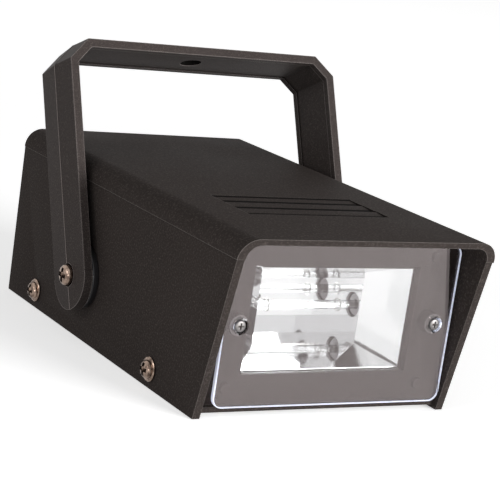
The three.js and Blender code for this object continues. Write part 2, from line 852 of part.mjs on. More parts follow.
/** The clear plate, with a sunk hole for each of its screws. */
function plateSolid() {
  const back = -plateFrontReach + plateThickness;
  const shape = roundedRectangle(-plateHalfWidth, plateHalfWidth, plateBottom, plateTop, plateCorner);
  const sheet = alongY(shape, -plateFrontReach, back);
  const hole = (side) => {
    const place = [side * plateScrewOffset, windowHeight];
    const through = [-plateFrontReach - overrun, back + overrun];
    const sink = [-plateFrontReach - overrun, -plateFrontReach + plateSinkDepth];
    return joined(
      rod(plateScrewShank + 2 * seat, 'y', through, place, mediumSides),
      rod(plateSinkDiameter, 'y', sink, place, mediumSides),
    );
  };
  return cut(sheet, ...[-1, 1].map(hole));
}

/** A screw of the clear plate. */
function plateScrewSolid(side) {
  const screw = panScrew(plateScrewHead, plateScrewHeadHeight, plateScrewShank, plateScrewLength, mediumSides);
  const seatFace = -plateFrontReach + plateSinkDepth - seat / 2;
  return screwTowards('front', screw, [side * plateScrewOffset, seatFace, windowHeight]);
}

/** A screw that comes up through the tray into the bezel. */
function bezelScrewSolid(side) {
  const screw = panScrew(bezelScrewHead, bezelScrewHeadHeight, bezelScrewShank, bezelScrewLength, coarseSides);
  const seatFace = trayBottom + bezelScrewHeadHeight + seat / 2;
  return screwTowards('down', screw, [side * bezelScrewOffset, bezelScrewPlace(), seatFace]);
}

// Reflector and flash tube

/** The trough seen from the side: straight flanks from the mouth to a flat back behind the tube. */
function troughOutline(wall, mouthReach) {
  const mouth = mouthHalfHeight + wall;
  const back = backHalfHeight + wall;
  return outline([
    [-mouthReach, windowHeight + mouth],
    [-mouthReach, windowHeight - mouth],
    [wall - backReach, windowHeight - back],
    [wall - backReach, windowHeight + back],
  ]);
}

/** The trough seen from above: parallel ends behind, and splayed ends towards the mouth. */
function splayOutline(wall, mouthReach) {
  const throat = throatHalfWidth + wall;
  const mouth = mouthHalfWidth + wall;
  const rear = backReach - wall - overrun;
  return outline([
    [-throat, -rear],
    [-throat, -throatReach],
    [-mouth, -mouthReach],
    [mouth, -mouthReach],
    [throat, -throatReach],
    [throat, -rear],
  ]);
}

/** The space inside the trough, or its outside when a wall is given. */
function troughSolid(wall, mouthReach) {
  const side = alongX(troughOutline(wall, mouthReach), -flangeHalfWidth, flangeHalfWidth);
  return side.intersect(alongZ(splayOutline(wall, mouthReach), 0, coverHeight));
}

/** The places of the reflector's screws, as [x, z]. */
function reflectorScrewPlaces() {
  return cornersAbout(flangeHalfWidth - reflectorScrewInset, flangeHalfHeight - reflectorScrewInset);
}

/** The reflector: a bright trough with splayed ends and a flat flange. */
function reflectorSolid() {
  const flange = box(
    [-flangeHalfWidth, flangeHalfWidth],
    [-flangeFront, -flangeBack],
    [windowHeight - flangeHalfHeight, windowHeight + flangeHalfHeight],
  );
  const outer = joined(flange, troughSolid(reflectorWall, flangeFront));
  const inner = troughSolid(0, flangeFront);
  const mouth = box(
    [-mouthHalfWidth, mouthHalfWidth],
    [-flangeFront - overrun, -flangeFront + seat / 2],
    [windowHeight - mouthHalfHeight, windowHeight + mouthHalfHeight],
  );
  const tubeHoles = rod(tubeHole, 'x', [-coverWidth, coverWidth], [-tubeReach, windowHeight], mediumSides);
  const exit = rod(triggerHole, 'y', [-tubeReach, 0], [triggerExit, windowHeight], coarseSides);
  const screwHoles = reflectorScrewPlaces().map((place) =>
    rod(reflectorScrewShank + 2 * seat, 'y', [-hoodReach, 0], place, coarseSides),
  );
  return cut(outer, inner, mouth, tubeHoles, exit, ...screwHoles);
}

/** A screw that holds the reflector's flange to the back of the bezel. */
function reflectorScrewSolid([x, z]) {
  const length = reflectorWall + reflectorScrewLength;
  const screw = panScrew(reflectorScrewHead, reflectorScrewHeadHeight, reflectorScrewShank, length, coarseSides);
  return screwTowards('rear', screw, [x, -flangeBack + seat / 2, z]);
}

/** The glass of the flash tube, open at both ends. */
function tubeSolid() {
  const half = tubeLength / 2;
  const outer = tubeDiameter / 2;
  const inner = outer - tubeWall;
  const profile = [[inner, -half], [outer, -half], [outer, half], [inner, half], [inner, -half]];
  return spun(profile, 'x', [0, -tubeReach, windowHeight], mediumSides);
}

/** An electrode that plugs one end of the tube, with its pin. */
function electrodeSolid(side) {
  const half = tubeLength / 2;
  const stem = tubeDiameter / 2 - tubeWall - seat;
  const capStart = half + seat;
  const capEnd = capStart + electrodeCap;
  const profile = [
    [0, half - electrodeDepth],
    [stem, half - electrodeDepth],
    [stem, capStart],
    [tubeDiameter / 2, capStart],
    [tubeDiameter / 2, capEnd],
    [electrodePin / 2, capEnd],
    [electrodePin / 2, capEnd + electrodePinLength],
    [0, capEnd + electrodePinLength],
  ];
  const electrode = spun(profile, 'x', [0, -tubeReach, windowHeight], coarseSides);
  return side < 0 ? mirrored(electrode) : electrode;
}

/** The rubber sleeve round one end of the tube, against the reflector's end wall. */
function holderSolid(side) {
  const start = throatHalfWidth + reflectorWall + seat;
  const end = start + holderLength;
  const outer = holderDiameter / 2;
  const inner = tubeDiameter / 2 + seat;
  const profile = [[inner, start], [outer, start], [outer, end], [inner, end], [inner, start]];
  const sleeve = spun(profile, 'x', [0, -tubeReach, windowHeight], mediumSides);
  return side < 0 ? mirrored(sleeve) : sleeve;
}

/** The bare trigger wire: a run behind the tube, a loop at each end and a tail out of the back. */
function triggerSolid() {
  const away = tubeDiameter / 2 + seat + triggerWire / 2;
  const behind = -tubeReach + away;
  const span = [-triggerHalfSpan, triggerHalfSpan];
  const run = rod(triggerWire, 'x', span, [behind, windowHeight], leadSides);
  const loop = (side) => {
    const ring = new THREE.TorusGeometry(away, triggerWire / 2, leadSides, mediumSides);
    ring.rotateY(quarterTurn);
    ring.translate(side * triggerHalfSpan, -tubeReach, windowHeight);
    return solidFrom(ring);
  };
  const tail = rod(triggerWire, 'y', [behind, behind + triggerTail], [triggerExit, windowHeight], leadSides);
  return joined(run, loop(-1), loop(1), tail);
}

// Circuit board and its parts

/** The circuit board with its screw holes. */
function boardSolid() {
  const sheet = box([-boardHalfWidth, boardHalfWidth], [-boardFront, -boardRear], [boardBottom, boardTop]);
  const hole = (place) =>
    rod(boardScrewShank + 2 * seat, 'z', [boardBottom - overrun, boardTop + overrun], place, coarseSides);
  return cut(sheet, ...postPlaces().map(hole));
}

/** A screw of the circuit board. */
function boardScrewSolid([x, y]) {
  const screw = panScrew(boardScrewHead, boardScrewHeadHeight, boardScrewShank, boardScrewLength, coarseSides);
  return screwTowards('up', screw, [x, y, boardTop + seat / 2]);
}

/** A storage capacitor: a can with a groove near its foot and a rounded top edge. */
function canSolid(side) {
  const radius = canDiameter / 2;
  const waist = radius - canGroove;
  const top = partFoot + canHeight;
  const profile = [
    [0, partFoot],
    [waist, partFoot],
    [radius, partFoot + canGroove],
    [radius, partFoot + canGrooveRise - canGroove],
    [waist, partFoot + canGrooveRise],
    [radius, partFoot + canGrooveRise + canGroove],
    [radius, top - canGroove],
    [waist, top],
    [0, top],
  ];
  const can = spun(profile.map(([r, z]) => [r, -z]).reverse(), 'y', [0, 0, 0], mediumSides).rotate([-90, 0, 0]);
  return can.translate([side * canOffset, -canReach, 0]);
}

/** The film capacitor that fires the trigger coil. */
function filmSolid() {
  return boxOn(filmSize, [filmOffset, filmReach], partFoot);
}

/** The trigger coil: a winding between two cheeks. */
function coilSolid() {
  const cheekRadius = coilFlange / 2;
  const windingRadius = coilWinding / 2;
  const top = partFoot + coilHeight;
  const profile = [
    [0, partFoot],
    [cheekRadius, partFoot],
    [cheekRadius, partFoot + coilCheek],
    [windingRadius, partFoot + coilCheek],
    [windingRadius, top - coilCheek],
    [cheekRadius, top - coilCheek],
    [cheekRadius, top],
    [0, top],
  ];
  const coil = spun(profile.map(([r, z]) => [r, -z]).reverse(), 'y', [0, 0, 0], mediumSides).rotate([-90, 0, 0]);
  return coil.translate([0, -coilReach, 0]);
}

/** The ballast resistor: a ceramic block held off the board on its two leads. */
function resistorSolid() {
  const [length] = resistorSize;
  const foot = partFoot + resistorLift;
  const block = boxOn(resistorSize, [0, resistorReach], foot);
  const legHeight = resistorLift + overrun;
  const leg = (side) => {
    const x = side * (length / 2 - leadThickness);
    return boxOn([leadThickness, leadThickness, legHeight], [x, resistorReach], partFoot);
  };
  return joined(block, leg(-1), leg(1));
}

/** The thyristor: a moulded body on a metal tab, on three legs. */
function thyristorSolid() {
  const x = thyristorOffset;
  const reach = thyristorReach;
  const foot = partFoot + thyristorLegRise;
  const body = boxOn(thyristorBody, [x, reach], foot);
  const tabReach = reach - thyristorBody[1] / 2 + thyristorTab[1] / 2;
  const tab = boxOn(thyristorTab, [x, tabReach], foot);
  const legPitch = thyristorBody[0] / 4;
  const leg = (i) =>
    boxOn([leadThickness, leadThickness, thyristorLegRise + overrun], [x + i * legPitch, reach], partFoot);
  return joined(body, tab, leg(-1), leg(0), leg(1));
}

/** A rectifier diode that lies along the board on its bent leads. */
function diodeSolid(x) {
  const height = partFoot + diodeLift + diodeDiameter / 2;
  const half = diodeLength / 2;
  const body = rod(diodeDiameter, 'y', [-diodeReach - half, -diodeReach + half], [x, height], coarseSides);
  const halfLead = leadThickness / 2;
  const y0 = -diodeReach - diodeSpan / 2;
  const y1 = -diodeReach + diodeSpan / 2;
  const across = [x - halfLead, x + halfLead];
  const lead = box(across, [y0, y1], [height - halfLead, height + halfLead]);
  const legs = [y0, y1 - leadThickness].map((y) => box(across, [y, y + leadThickness], [partFoot, height]));
  return joined(body, lead, ...legs);
}

/** The two-way mains terminal block. */
function terminalSolid() {
  const x = terminalOffset;
  const reach = terminalReach;
  const [width, length, height] = terminalSize;
  const block = boxOn(terminalSize, [x, reach], partFoot);
  const mouth = (side) =>
    rod(
      terminalMouth,
      'y',
      [-reach, -reach + length],
      [x + (side * width) / 4, partFoot + height / 3],
      coarseSides,
    );
  const screwWell = (side) =>
    rod(
      terminalMouth,
      'z',
      [partFoot + height / 2 + seat, partFoot + height + overrun],
      [x + (side * width) / 4, -reach],
      coarseSides,
    );
  return cut(block, mouth(-1), mouth(1), screwWell(-1), screwWell(1));
}

/** The glass fuse. */
function fuseSolid() {
  const height = partFoot + fuseLift + fuseDiameter / 2;
  const half = fuseLength / 2;
  const cap = fuseDiameter / 2;
  const glass = cap * fuseGlassShare;
  const capLength = fuseLength / 4;
  const profile = [
    [0, -half],
    [cap, -half],
    [cap, -half + capLength],
    [glass, -half + capLength],
    [glass, half - capLength],
    [cap, half - capLength],
    [cap, half],
    [0, half],
  ];
  return spun(profile, 'y', [fuseOffset, -fuseReach, height], coarseSides);
}

/** The spring clip that holds one end of the fuse. */
function fuseClipSolid(side) {
  const x = fuseOffset;
  const inner = fuseDiameter / 2 + seat;
  const outer = inner + clipWall;
  const top = partFoot + fuseLift + fuseDiameter;
  const y = -fuseReach + side * (fuseLength / 2 - clipLength / 2);
  const span = [y - clipLength / 2, y + clipLength / 2];
  const wide = box([x - outer, x + outer], span, [partFoot, top]);
  const floor = partFoot + fuseLift - seat;
  return cut(wide, box([x - inner, x + inner], [span[0] - overrun, span[1] + overrun], [floor, top + overrun]));
}

// Rear panel: speed control and gland

/** The rotary speed control behind the rear panel, with its threaded bushing and tabs. */
function controlSolid() {
  const place = [controlOffset, controlHeight];
  const face = panelInner - seat;
  const back = face - controlDepth;
  const body = rod(controlBody, 'y', [back, face], place, mediumSides);
  const bushing = rod(bushingDiameter, 'y', [face - seat, bushingEnd], place, mediumSides);
  const tabTop = controlHeight - controlBody / 2 + overrun / 2;
  const tab = (i) => {
    const x = controlOffset + i * tabPitch;
    const y = face - controlDepth / 2;
    return box(
      [x - tabSize[0] / 2, x + tabSize[0] / 2],
      [y - tabSize[1] / 2, y + tabSize[1] / 2],
      [tabTop - tabSize[2], tabTop + overrun],
    );
  };
  const bore = rod(shaftDiameter + 2 * seat, 'y', [back + overrun, bushingEnd + overrun], place, mediumSides);
  return cut(joined(body, bushing, tab(-1), tab(0), tab(1)), bore);
}

/** The nut that clamps the speed control to the rear panel. */
function controlNutSolid() {
  const place = [controlOffset, controlHeight];
  const start = panelOuter + seat;
  const end = start + controlNutThickness;
  const hole = rod(bushingDiameter + 2 * seat, 'y', [start - overrun, end + overrun], place, mediumSides);
  return cut(alongY(hexagon(controlNutAcross, place), start, end), hole);
}

/** The speed control's turning shaft. */
function shaftSolid() {
  const start = panelInner - seat - controlDepth + overrun + seat;
  return rod(shaftDiameter, 'y', [start, shaftEnd], [controlOffset, controlHeight], mediumSides);
}

/** The knob: a fluted grip on a wider skirt, with a pointer groove at the top. */
function knobSolid() {
  const radius = knobDiameter / 2;
  const count = knobFlutes * 4;
  const point = (i) => {
    const angle = (i / count) * fullTurn;
    const wave = 1 - knobFluteDepthShare * (1 + Math.cos(knobFlutes * angle)) / 2;
    return [controlOffset + radius * wave * Math.cos(angle), controlHeight + radius * wave * Math.sin(angle)];
  };
  const skirtEnd = knobStart + knobSkirtLength;
  const grip = alongY(outline(Array.from({ length: count }, (_, i) => point(i))), knobStart, knobEnd);
  const place = [controlOffset, controlHeight];
  const skirt = rod(knobSkirt, 'y', [knobStart, skirtEnd], place, fineSides);
  const bore = rod(shaftDiameter + 2 * seat, 'y', [knobStart - overrun, shaftEnd + seat], place, mediumSides);
  const half = knobPointer / 2;
  const groove = box(
    [controlOffset - half, controlOffset + half],
    [knobEnd - half, knobEnd + overrun],
    [controlHeight + radius / 3, controlHeight + radius + overrun],
  );
  return cut(joined(grip, skirt), bore, groove);
}

/** The cable gland: a hexagon and a dome outside the rear panel, and a thread through it. */
function glandSolid() {
  const place = [glandOffset, glandHeight];
  const start = panelOuter + seat;
  const hexEnd = start + glandHexLength;
  const hex = alongY(hexagon(glandHexAcross, place), start, hexEnd);
  const profile = [
    [0, hexEnd - seat],
    [glandDome / 2, hexEnd - seat],
    [glandDome / 2, (hexEnd + glandEnd) / 2],
    [glandMouth / 2, glandEnd],
    [0, glandEnd],
  ];
  const dome = spun(profile, 'y', [glandOffset, 0, glandHeight], mediumSides);
  const threadStart = start - panelWall - glandThreadLength;
  const thread = rod(glandThread, 'y', [threadStart, start + seat], place, mediumSides);
  const bore = rod(glandBore, 'y', [threadStart - overrun, glandEnd + overrun], place, mediumSides);
  return cut(joined(hex, dome, thread), bore);
}

/** The nut that holds the gland from inside. */
function glandNutSolid() {
  const place = [glandOffset, glandHeight];
  const end = panelInner - seat;
  const start = end - glandNutThickness;
  const hole = rod(glandThread + 2 * seat, 'y', [start - overrun, end + overrun], place, mediumSides);
  return cut(alongY(hexagon(glandHexAcross, place), start, end), hole);
}

// Wiring

/** A lead from one electrode's pin down to the circuit board. */
function lampLeadSolid(side) {
  const pinEnd = tubeLength / 2 + seat + electrodeCap + electrodePinLength + seat;
  const footX = postOffset;
  const footY = -(boardFront - boardEdge - lampLeadInset);
  const outermost = pinEnd + lampLeadDiameter + lampLeadSweep;
  const footTop = partFoot + leadRise;
  const points = [
    [pinEnd, -tubeReach, windowHeight],
    [pinEnd + lampLeadDiameter, -tubeReach + seat, windowHeight - lampLeadDiameter / 2],
    [outermost, -(tubeReach - leadRise), (windowHeight + footTop) / 2],
    [(outermost + footX) / 2, (footY - tubeReach) / 2, footTop + lampLeadDiameter],
    [footX, footY - lampLeadDiameter, footTop],
    [footX, footY, partFoot + seat],
  ];
  const lead = wire(points, lampLeadDiameter);
  return side < 0 ? mirrored(lead) : lead;
}

/** The insulated lead from the trigger wire to the trigger coil. */
function triggerLeadSolid() {
  const tailEnd = -tubeReach + tubeDiameter / 2 + seat + triggerWire / 2 + triggerTail + seat;
  const coilTop = partFoot + coilHeight + seat;
  const height = Math.max(windowHeight, coilTop + leadRise) + triggerLeadRise;
  const points = [
    [triggerExit, tailEnd, windowHeight],
    [triggerExit + lampLeadDiameter, tailEnd + leadRise, (windowHeight + height) / 2],
    [triggerExit / 2, (tailEnd - coilReach) / 2, height],
    [-lampLeadDiameter / 2, -coilReach, coilTop + leadRise - lampLeadDiameter],
    [0, -coilReach, coilTop],
  ];
  return wire(points, lampLeadDiameter);
}

/** The flat ribbon lead from the speed control's tabs to the circuit board. */
function ribbonSolid() {
  const tabFoot = controlHeight - controlBody / 2 + overrun / 2 - tabSize[2] - seat;
  const y = panelInner - seat - controlDepth / 2;
  const half = ribbonThickness / 2;
  const landing = -(boardRear + ribbonBend);
  const upper = [
    [y - half, tabFoot],
    [y - half - ribbonBend / 2, tabFoot - ribbonBend],
    [landing - half + ribbonBend, partFoot + ribbonBend + half],
    [landing - half, partFoot + ribbonBend / 2],
    [landing - half, partFoot],
  ];
  const lower = upper.map(([v, w]) => [v + ribbonThickness, w]).reverse();
  return alongX(outline([...upper, ...lower]), controlOffset - ribbonWidth / 2, controlOffset + ribbonWidth / 2);
}

// Materials

/** A plain material from a colour, a roughness and a metalness. */
function finish(colour, roughness, metalness = 0) {
  return new THREE.MeshStandardMaterial({ color: colour, roughness, metalness });
}

const blackPlastic = () => finish(0x2b2826, 0.6);
const yokePlastic = () => finish(0x2a2726, 0.55);
const clearPlastic = () => {
  const material = finish(0xf2f4f8, 0.05);
  material.transparent = true;
  material.opacity = 0.3;
  return material;
};
const brightChrome = () => finish(0xe8e8ea, 0.08, 1);
const tubeGlass = () => finish(0xf4f6fa, 0.05);
const warmNickel = () => finish(0x9a7f70, 0.3, 1);
const silverSteel = () => finish(0xb8b8bc, 0.3, 1);
const darkRubber = () => finish(0x1c1b1b, 0.8);
const boardLaminate = () => finish(0x2f5a36, 0.6);
const canSleeve = () => finish(0x1e2430, 0.4);
const redFilm = () => finish(0x8c2a1e, 0.4);
const copperWinding = () => finish(0x9a5a2a, 0.4, 1);
const whiteCeramic = () => finish(0xdcd8cc, 0.8);
const blackResin = () => finish(0x161616, 0.5);
const greenTerminal = () => finish(0x2a6e4a, 0.5);
const redLead = () => finish(0xa02018, 0.5);
const whiteLead = () => finish(0xd8d4cc, 0.5);

// Assembly

const strobe = new THREE.Group();
const housing = new THREE.Group();
const yokeGroup = new THREE.Group();

/** Names a piece, gives it its material and puts it in a group. */
function addPiece(group, name, solid, material) {
  const mesh = new THREE.Mesh(geometryFrom(solid), material());
  mesh.name = name;
  group.add(mesh);
}

const sides = [['left', -1], ['right', 1]];
const ends = [['rear', sideScrewReaches[0]], ['front', sideScrewReaches[1]]];

addPiece(housing, 'top_cover', coverSolid(), blackPlastic);
addPiece(housing, 'base_tray', traySolid(), blackPlastic);
addPiece(housing, 'front_bezel', bezelSolid(), blackPlastic);
addPiece(housing, 'clear_plate', plateSolid(), clearPlastic);
addPiece(housing, 'reflector', reflectorSolid(), brightChrome);
addPiece(housing, 'flash_tube', tubeSolid(), tubeGlass);
addPiece(housing, 'trigger_wire', triggerSolid(), silverSteel);
addPiece(housing, 'circuit_board', boardSolid(), boardLaminate);
addPiece(housing, 'film_capacitor', filmSolid(), redFilm);
addPiece(housing, 'trigger_coil', coilSolid(), copperWinding);
addPiece(housing, 'ballast_resistor', resistorSolid(), whiteCeramic);
addPiece(housing, 'thyristor', thyristorSolid(), blackResin);
addPiece(housing, 'terminal_block', terminalSolid(), greenTerminal);
addPiece(housing, 'fuse', fuseSolid(), tubeGlass);
addPiece(housing, 'speed_control', controlSolid(), silverSteel);
addPiece(housing, 'speed_control_nut', controlNutSolid(), silverSteel);
addPiece(housing, 'speed_shaft', shaftSolid(), silverSteel);
addPiece(housing, 'speed_knob', knobSolid(), blackPlastic);
addPiece(housing, 'cable_gland', glandSolid(), blackPlastic);
addPiece(housing, 'gland_nut', glandNutSolid(), blackPlastic);
addPiece(housing, 'trigger_lead', triggerLeadSolid(), whiteLead);
addPiece(housing, 'control_ribbon', ribbonSolid(), whiteLead);

for (const [name, side] of sides) {
  addPiece(housing, `pivot_screw_${name}`, pivotScrewSolid(side), warmNickel);
  addPiece(housing, `pivot_nut_${name}`, pivotNutSolid(side), silverSteel);
  addPiece(housing, `spacer_disc_${name}`, spacerSolid(side), darkRubber);
  addPiece(housing, `plate_screw_${name}`, plateScrewSolid(side), silverSteel);
  addPiece(housing, `bezel_screw_${name}`, bezelScrewSolid(side), silverSteel);
  addPiece(housing, `electrode_${name}`, electrodeSolid(side), silverSteel);
  addPiece(housing, `tube_holder_${name}`, holderSolid(side), darkRubber);
  addPiece(housing, `storage_capacitor_${name}`, canSolid(side), canSleeve);
  addPiece(housing, `lamp_lead_${name}`, lampLeadSolid(side), redLead);
  for (const [end, reach] of ends) {
    addPiece(housing, `side_screw_${end}_${name}`, sideScrewSolid(side, reach), warmNickel);
  }
}

for (const [index, x] of diodeOffsets.entries()) {
  addPiece(housing, `diode_${index + 1}`, diodeSolid(x), blackResin);
}
for (const [name, side] of [['front', -1], ['rear', 1]]) {
  addPiece(housing, `fuse_clip_${name}`, fuseClipSolid(side), silverSteel);
}
for (const [index, place] of postPlaces().entries()) {
  addPiece(housing, `board_screw_${index + 1}`, boardScrewSolid(place), silverSteel);
}
for (const [index, place] of reflectorScrewPlaces().entries()) {
  addPiece(housing, `reflector_screw_${index + 1}`, reflectorScrewSolid(place), silverSteel);
}

addPiece(yokeGroup, 'yoke', yokeSolid(), yokePlastic);
yokeGroup.position.set(0, -pivotReach, pivotHeight);
yokeGroup.rotation.x = -yokeTilt;

// The finished part stands with its origin under the middle of its whole length.
strobe.add(housing, yokeGroup);
strobe.position.y = (hoodReach - knobEnd) / 2;

export default strobe;
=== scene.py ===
"""Dresses a small stage strobe: a black moulded housing with a raked hood, held in a yoke.

Lengths are in metres, in the model's own frame: the light shines towards -Y, X runs
across the housing, and the housing stands on z = 0.
"""

import json
import logging
import math
from collections.abc import Callable, Sequence
from dataclasses import dataclass
from enum import Enum

import bmesh
import bpy
from mathutils import Matrix, Vector


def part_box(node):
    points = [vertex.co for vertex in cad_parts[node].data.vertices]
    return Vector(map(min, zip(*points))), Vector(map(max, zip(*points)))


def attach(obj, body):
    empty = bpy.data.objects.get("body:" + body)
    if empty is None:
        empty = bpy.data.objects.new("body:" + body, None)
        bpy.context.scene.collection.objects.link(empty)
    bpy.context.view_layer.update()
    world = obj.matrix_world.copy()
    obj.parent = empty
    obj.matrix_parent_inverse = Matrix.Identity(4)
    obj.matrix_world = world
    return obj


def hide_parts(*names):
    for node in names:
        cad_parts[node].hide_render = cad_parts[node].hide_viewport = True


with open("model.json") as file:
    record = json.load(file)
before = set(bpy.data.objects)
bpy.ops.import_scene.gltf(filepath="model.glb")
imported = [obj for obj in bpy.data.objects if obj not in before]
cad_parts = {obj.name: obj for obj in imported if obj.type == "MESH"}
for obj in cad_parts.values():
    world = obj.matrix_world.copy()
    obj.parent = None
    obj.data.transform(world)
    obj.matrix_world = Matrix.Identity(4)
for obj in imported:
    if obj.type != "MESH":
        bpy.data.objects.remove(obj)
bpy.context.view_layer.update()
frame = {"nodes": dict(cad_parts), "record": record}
MM = 0.001
MERGE_REACH = 0.002 * MM
FLAT_ANGLE = 0.5
LOOKS_ALONG = 0.9
LOG = logging.getLogger("strobe")

Colour = tuple[float, float, float]
Point = tuple[float, float, float]
Rings = tuple[tuple[float, float], ...]
Piece = bpy.types.Object
Polygon = bpy.types.MeshPolygon
EditFace = bmesh.types.BMFace
EditEdge = bmesh.types.BMEdge
EditPart = EditFace | EditEdge
Socket = bpy.types.NodeSocket
Outputs = bpy.types.NodeOutputs

WHITE: Colour = (1.0, 1.0, 1.0)
VECTOR = "NodeSocketVector"
FLOAT = "NodeSocketFloat"


class Body(Enum):
    """The bodies that pieces ride on."""

    HOUSING = "housing"
    YOKE = "yoke"
    KNOB = "rate_knob"


class Side(Enum):
    """The two sides of the housing, with the sign of x on each."""

    LEFT = -1
    RIGHT = 1

    @property
    def word(self) -> str:
        """The side's name as the nodes spell it."""
        return self.name.lower()


class Facing(Enum):
    """Where a screw's head points: its turns about X, Y and Z in degrees, and that way."""

    LEFT = ((0.0, -90.0, 0.0), (-1.0, 0.0, 0.0))
    RIGHT = ((0.0, 90.0, 0.0), (1.0, 0.0, 0.0))
    FRONT = ((90.0, 0.0, 0.0), (0.0, -1.0, 0.0))


# Shader groups and finishes


class Sketch:
    """Adds and joins the nodes of one tree."""

    def __init__(self, tree: bpy.types.NodeTree) -> None:
        """Keeps the tree and empties it."""
        self.tree = tree
        tree.nodes.clear()

    def add(self, kind: str, values: dict | None = None, **settings: object) -> bpy.types.Node:
        """Adds a node, with its settings and what goes into its sockets.

        Args:
            kind: The node's type.
            values: Socket name or number to a value, or to the socket that feeds it.
            **settings: The node's own properties.

        Returns:
            The new node.
        """
        node = self.tree.nodes.new(kind)
        for key, value in settings.items():
            setattr(node, key, value)
        for key, value in (values or {}).items():
            target = node.inputs[key]
            if isinstance(value, Socket):
                self.tree.links.new(value, target)
            else:
                target.default_value = (*value, 1.0) if target.type == "RGBA" else value
        return node

    def math(self, operation: str, *values: object) -> Socket:
        """Adds a math node and returns its output."""
        return self.add("ShaderNodeMath", dict(enumerate(values)), operation=operation).outputs[0]

    def blend(self, share: object, first: object, second: object) -> Socket:
        """Adds a mix of two colours, by the share of the second, and returns its output."""
        values = {0: share, 6: first, 7: second}
        return self.add("ShaderNodeMix", values, data_type="RGBA").outputs[2]

    def ramp(self, value: Socket, start: float, end: float, low: float, high: float) -> Socket:
        """Adds a map of one range of values onto another and returns its output."""
        values = {"Value": value, "From Min": start, "From Max": end, "To Min": low, "To Max": high}
        return self.add("ShaderNodeMapRange", values).outputs["Result"]

    def noise(self, place: Socket, scale: object, detail: float) -> Socket:
        """Adds a noise and returns its output."""
        values = {"Vector": place, "Scale": scale, "Detail": detail}
        return self.add("ShaderNodeTexNoise", values).outputs["Fac"]

    def bump(self, height: Socket, depth: float, strength: float) -> Socket:
        """Adds a bump and returns its normal."""
        values = {"Strength": strength, "Distance": depth, "Height": height}
        return self.add("ShaderNodeBump", values).outputs["Normal"]

    def place(self) -> Socket:
        """Adds the place of a point in its piece's own frame."""
        return self.add("ShaderNodeTexCoord").outputs["Object"]

    def white_share(self) -> Socket:
        """Tells the rays that see the room from those that only light the pieces.

        Returns:
            1 where the camera sees the room, also in a reflection or through the plate.
        """
        path = self.add("ShaderNodeLightPath").outputs
        mirrored = self.math("MAXIMUM", path["Is Glossy Ray"], path["Is Transmission Ray"])
        return self.math("MAXIMUM", path["Is Camera Ray"], mirrored)


class EffectGroup:
    """A shader node group that is built once and placed in many materials.

    An input without a default is a vector. All other sockets are numbers.
    """

    name = "effect"
    inputs: tuple[tuple[str, float | None], ...] = ()
    outputs: tuple[str, ...] = ()

    def tree(self) -> bpy.types.NodeTree:
        """Builds the group's tree, or finds it.

        Returns:
            The group's tree.
        """
        found = bpy.data.node_groups.get(self.name)
        if found:
            return found
        tree = bpy.data.node_groups.new(self.name, "ShaderNodeTree")
        for name, default in self.inputs:
            kind = VECTOR if default is None else FLOAT
            socket = tree.interface.new_socket(name, in_out="INPUT", socket_type=kind)
            if default is not None:
                socket.default_value = default
        for name in self.outputs:
            tree.interface.new_socket(name, in_out="OUTPUT", socket_type=FLOAT)
        sketch = Sketch(tree)
        given = sketch.add("NodeGroupInput").outputs
        sketch.add("NodeGroupOutput", self.draw(sketch, given))
        return tree

    def draw(self, sketch: Sketch, given: Outputs) -> dict[str, Socket]:
        """Draws what is inside the group and returns what feeds each output."""
        raise NotImplementedError

    def place(self, sketch: Sketch, values: dict) -> Outputs:
        """Places the group in a material, with what goes into it, and returns its outputs."""
        return sketch.add("ShaderNodeGroup", values, node_tree=self.tree()).outputs


class MouldGrain(EffectGroup):
    """The fine grain of a moulded surface, with a slow drift of tone."""

    name = "mould_grain"
    inputs = (("Vector", None), ("Grain", 2000.0), ("Drift", 25.0))
    outputs = ("Height", "Tone", "Speck")
    detail = 2.0
    drift_detail = 4.0
    cell_scale = 0.6
    cell_height = 0.5
    mean = 0.5
    speck_glint_gain = 2.5

    def draw(self, sketch: Sketch, given: Outputs) -> dict[str, Socket]:
        """Draws a noise and a cell pattern for the grain, and a slow noise for the tone.

        Args:
            sketch: Draws in the group's tree.
            given: The group's inputs.

        Returns:
            What feeds each output.
        """
        place = given["Vector"]
        fine = sketch.noise(place, given["Grain"], self.detail)
        scale = sketch.math("MULTIPLY", given["Grain"], self.cell_scale)
        cells = sketch.add("ShaderNodeTexVoronoi", {"Vector": place, "Scale": scale})
        slow = sketch.noise(place, given["Drift"], self.drift_detail)
        cell_height = sketch.math("MULTIPLY", cells.outputs["Distance"], self.cell_height)
        height = sketch.math("ADD", fine, cell_height)
        # The speck signal gives paler specks of grain, which also paint the glints of light on a
        # rough surface.
        speck = sketch.math("MULTIPLY", sketch.math("SUBTRACT", fine, self.mean), self.speck_glint_gain)
        return {"Height": height, "Tone": slow, "Speck": speck}


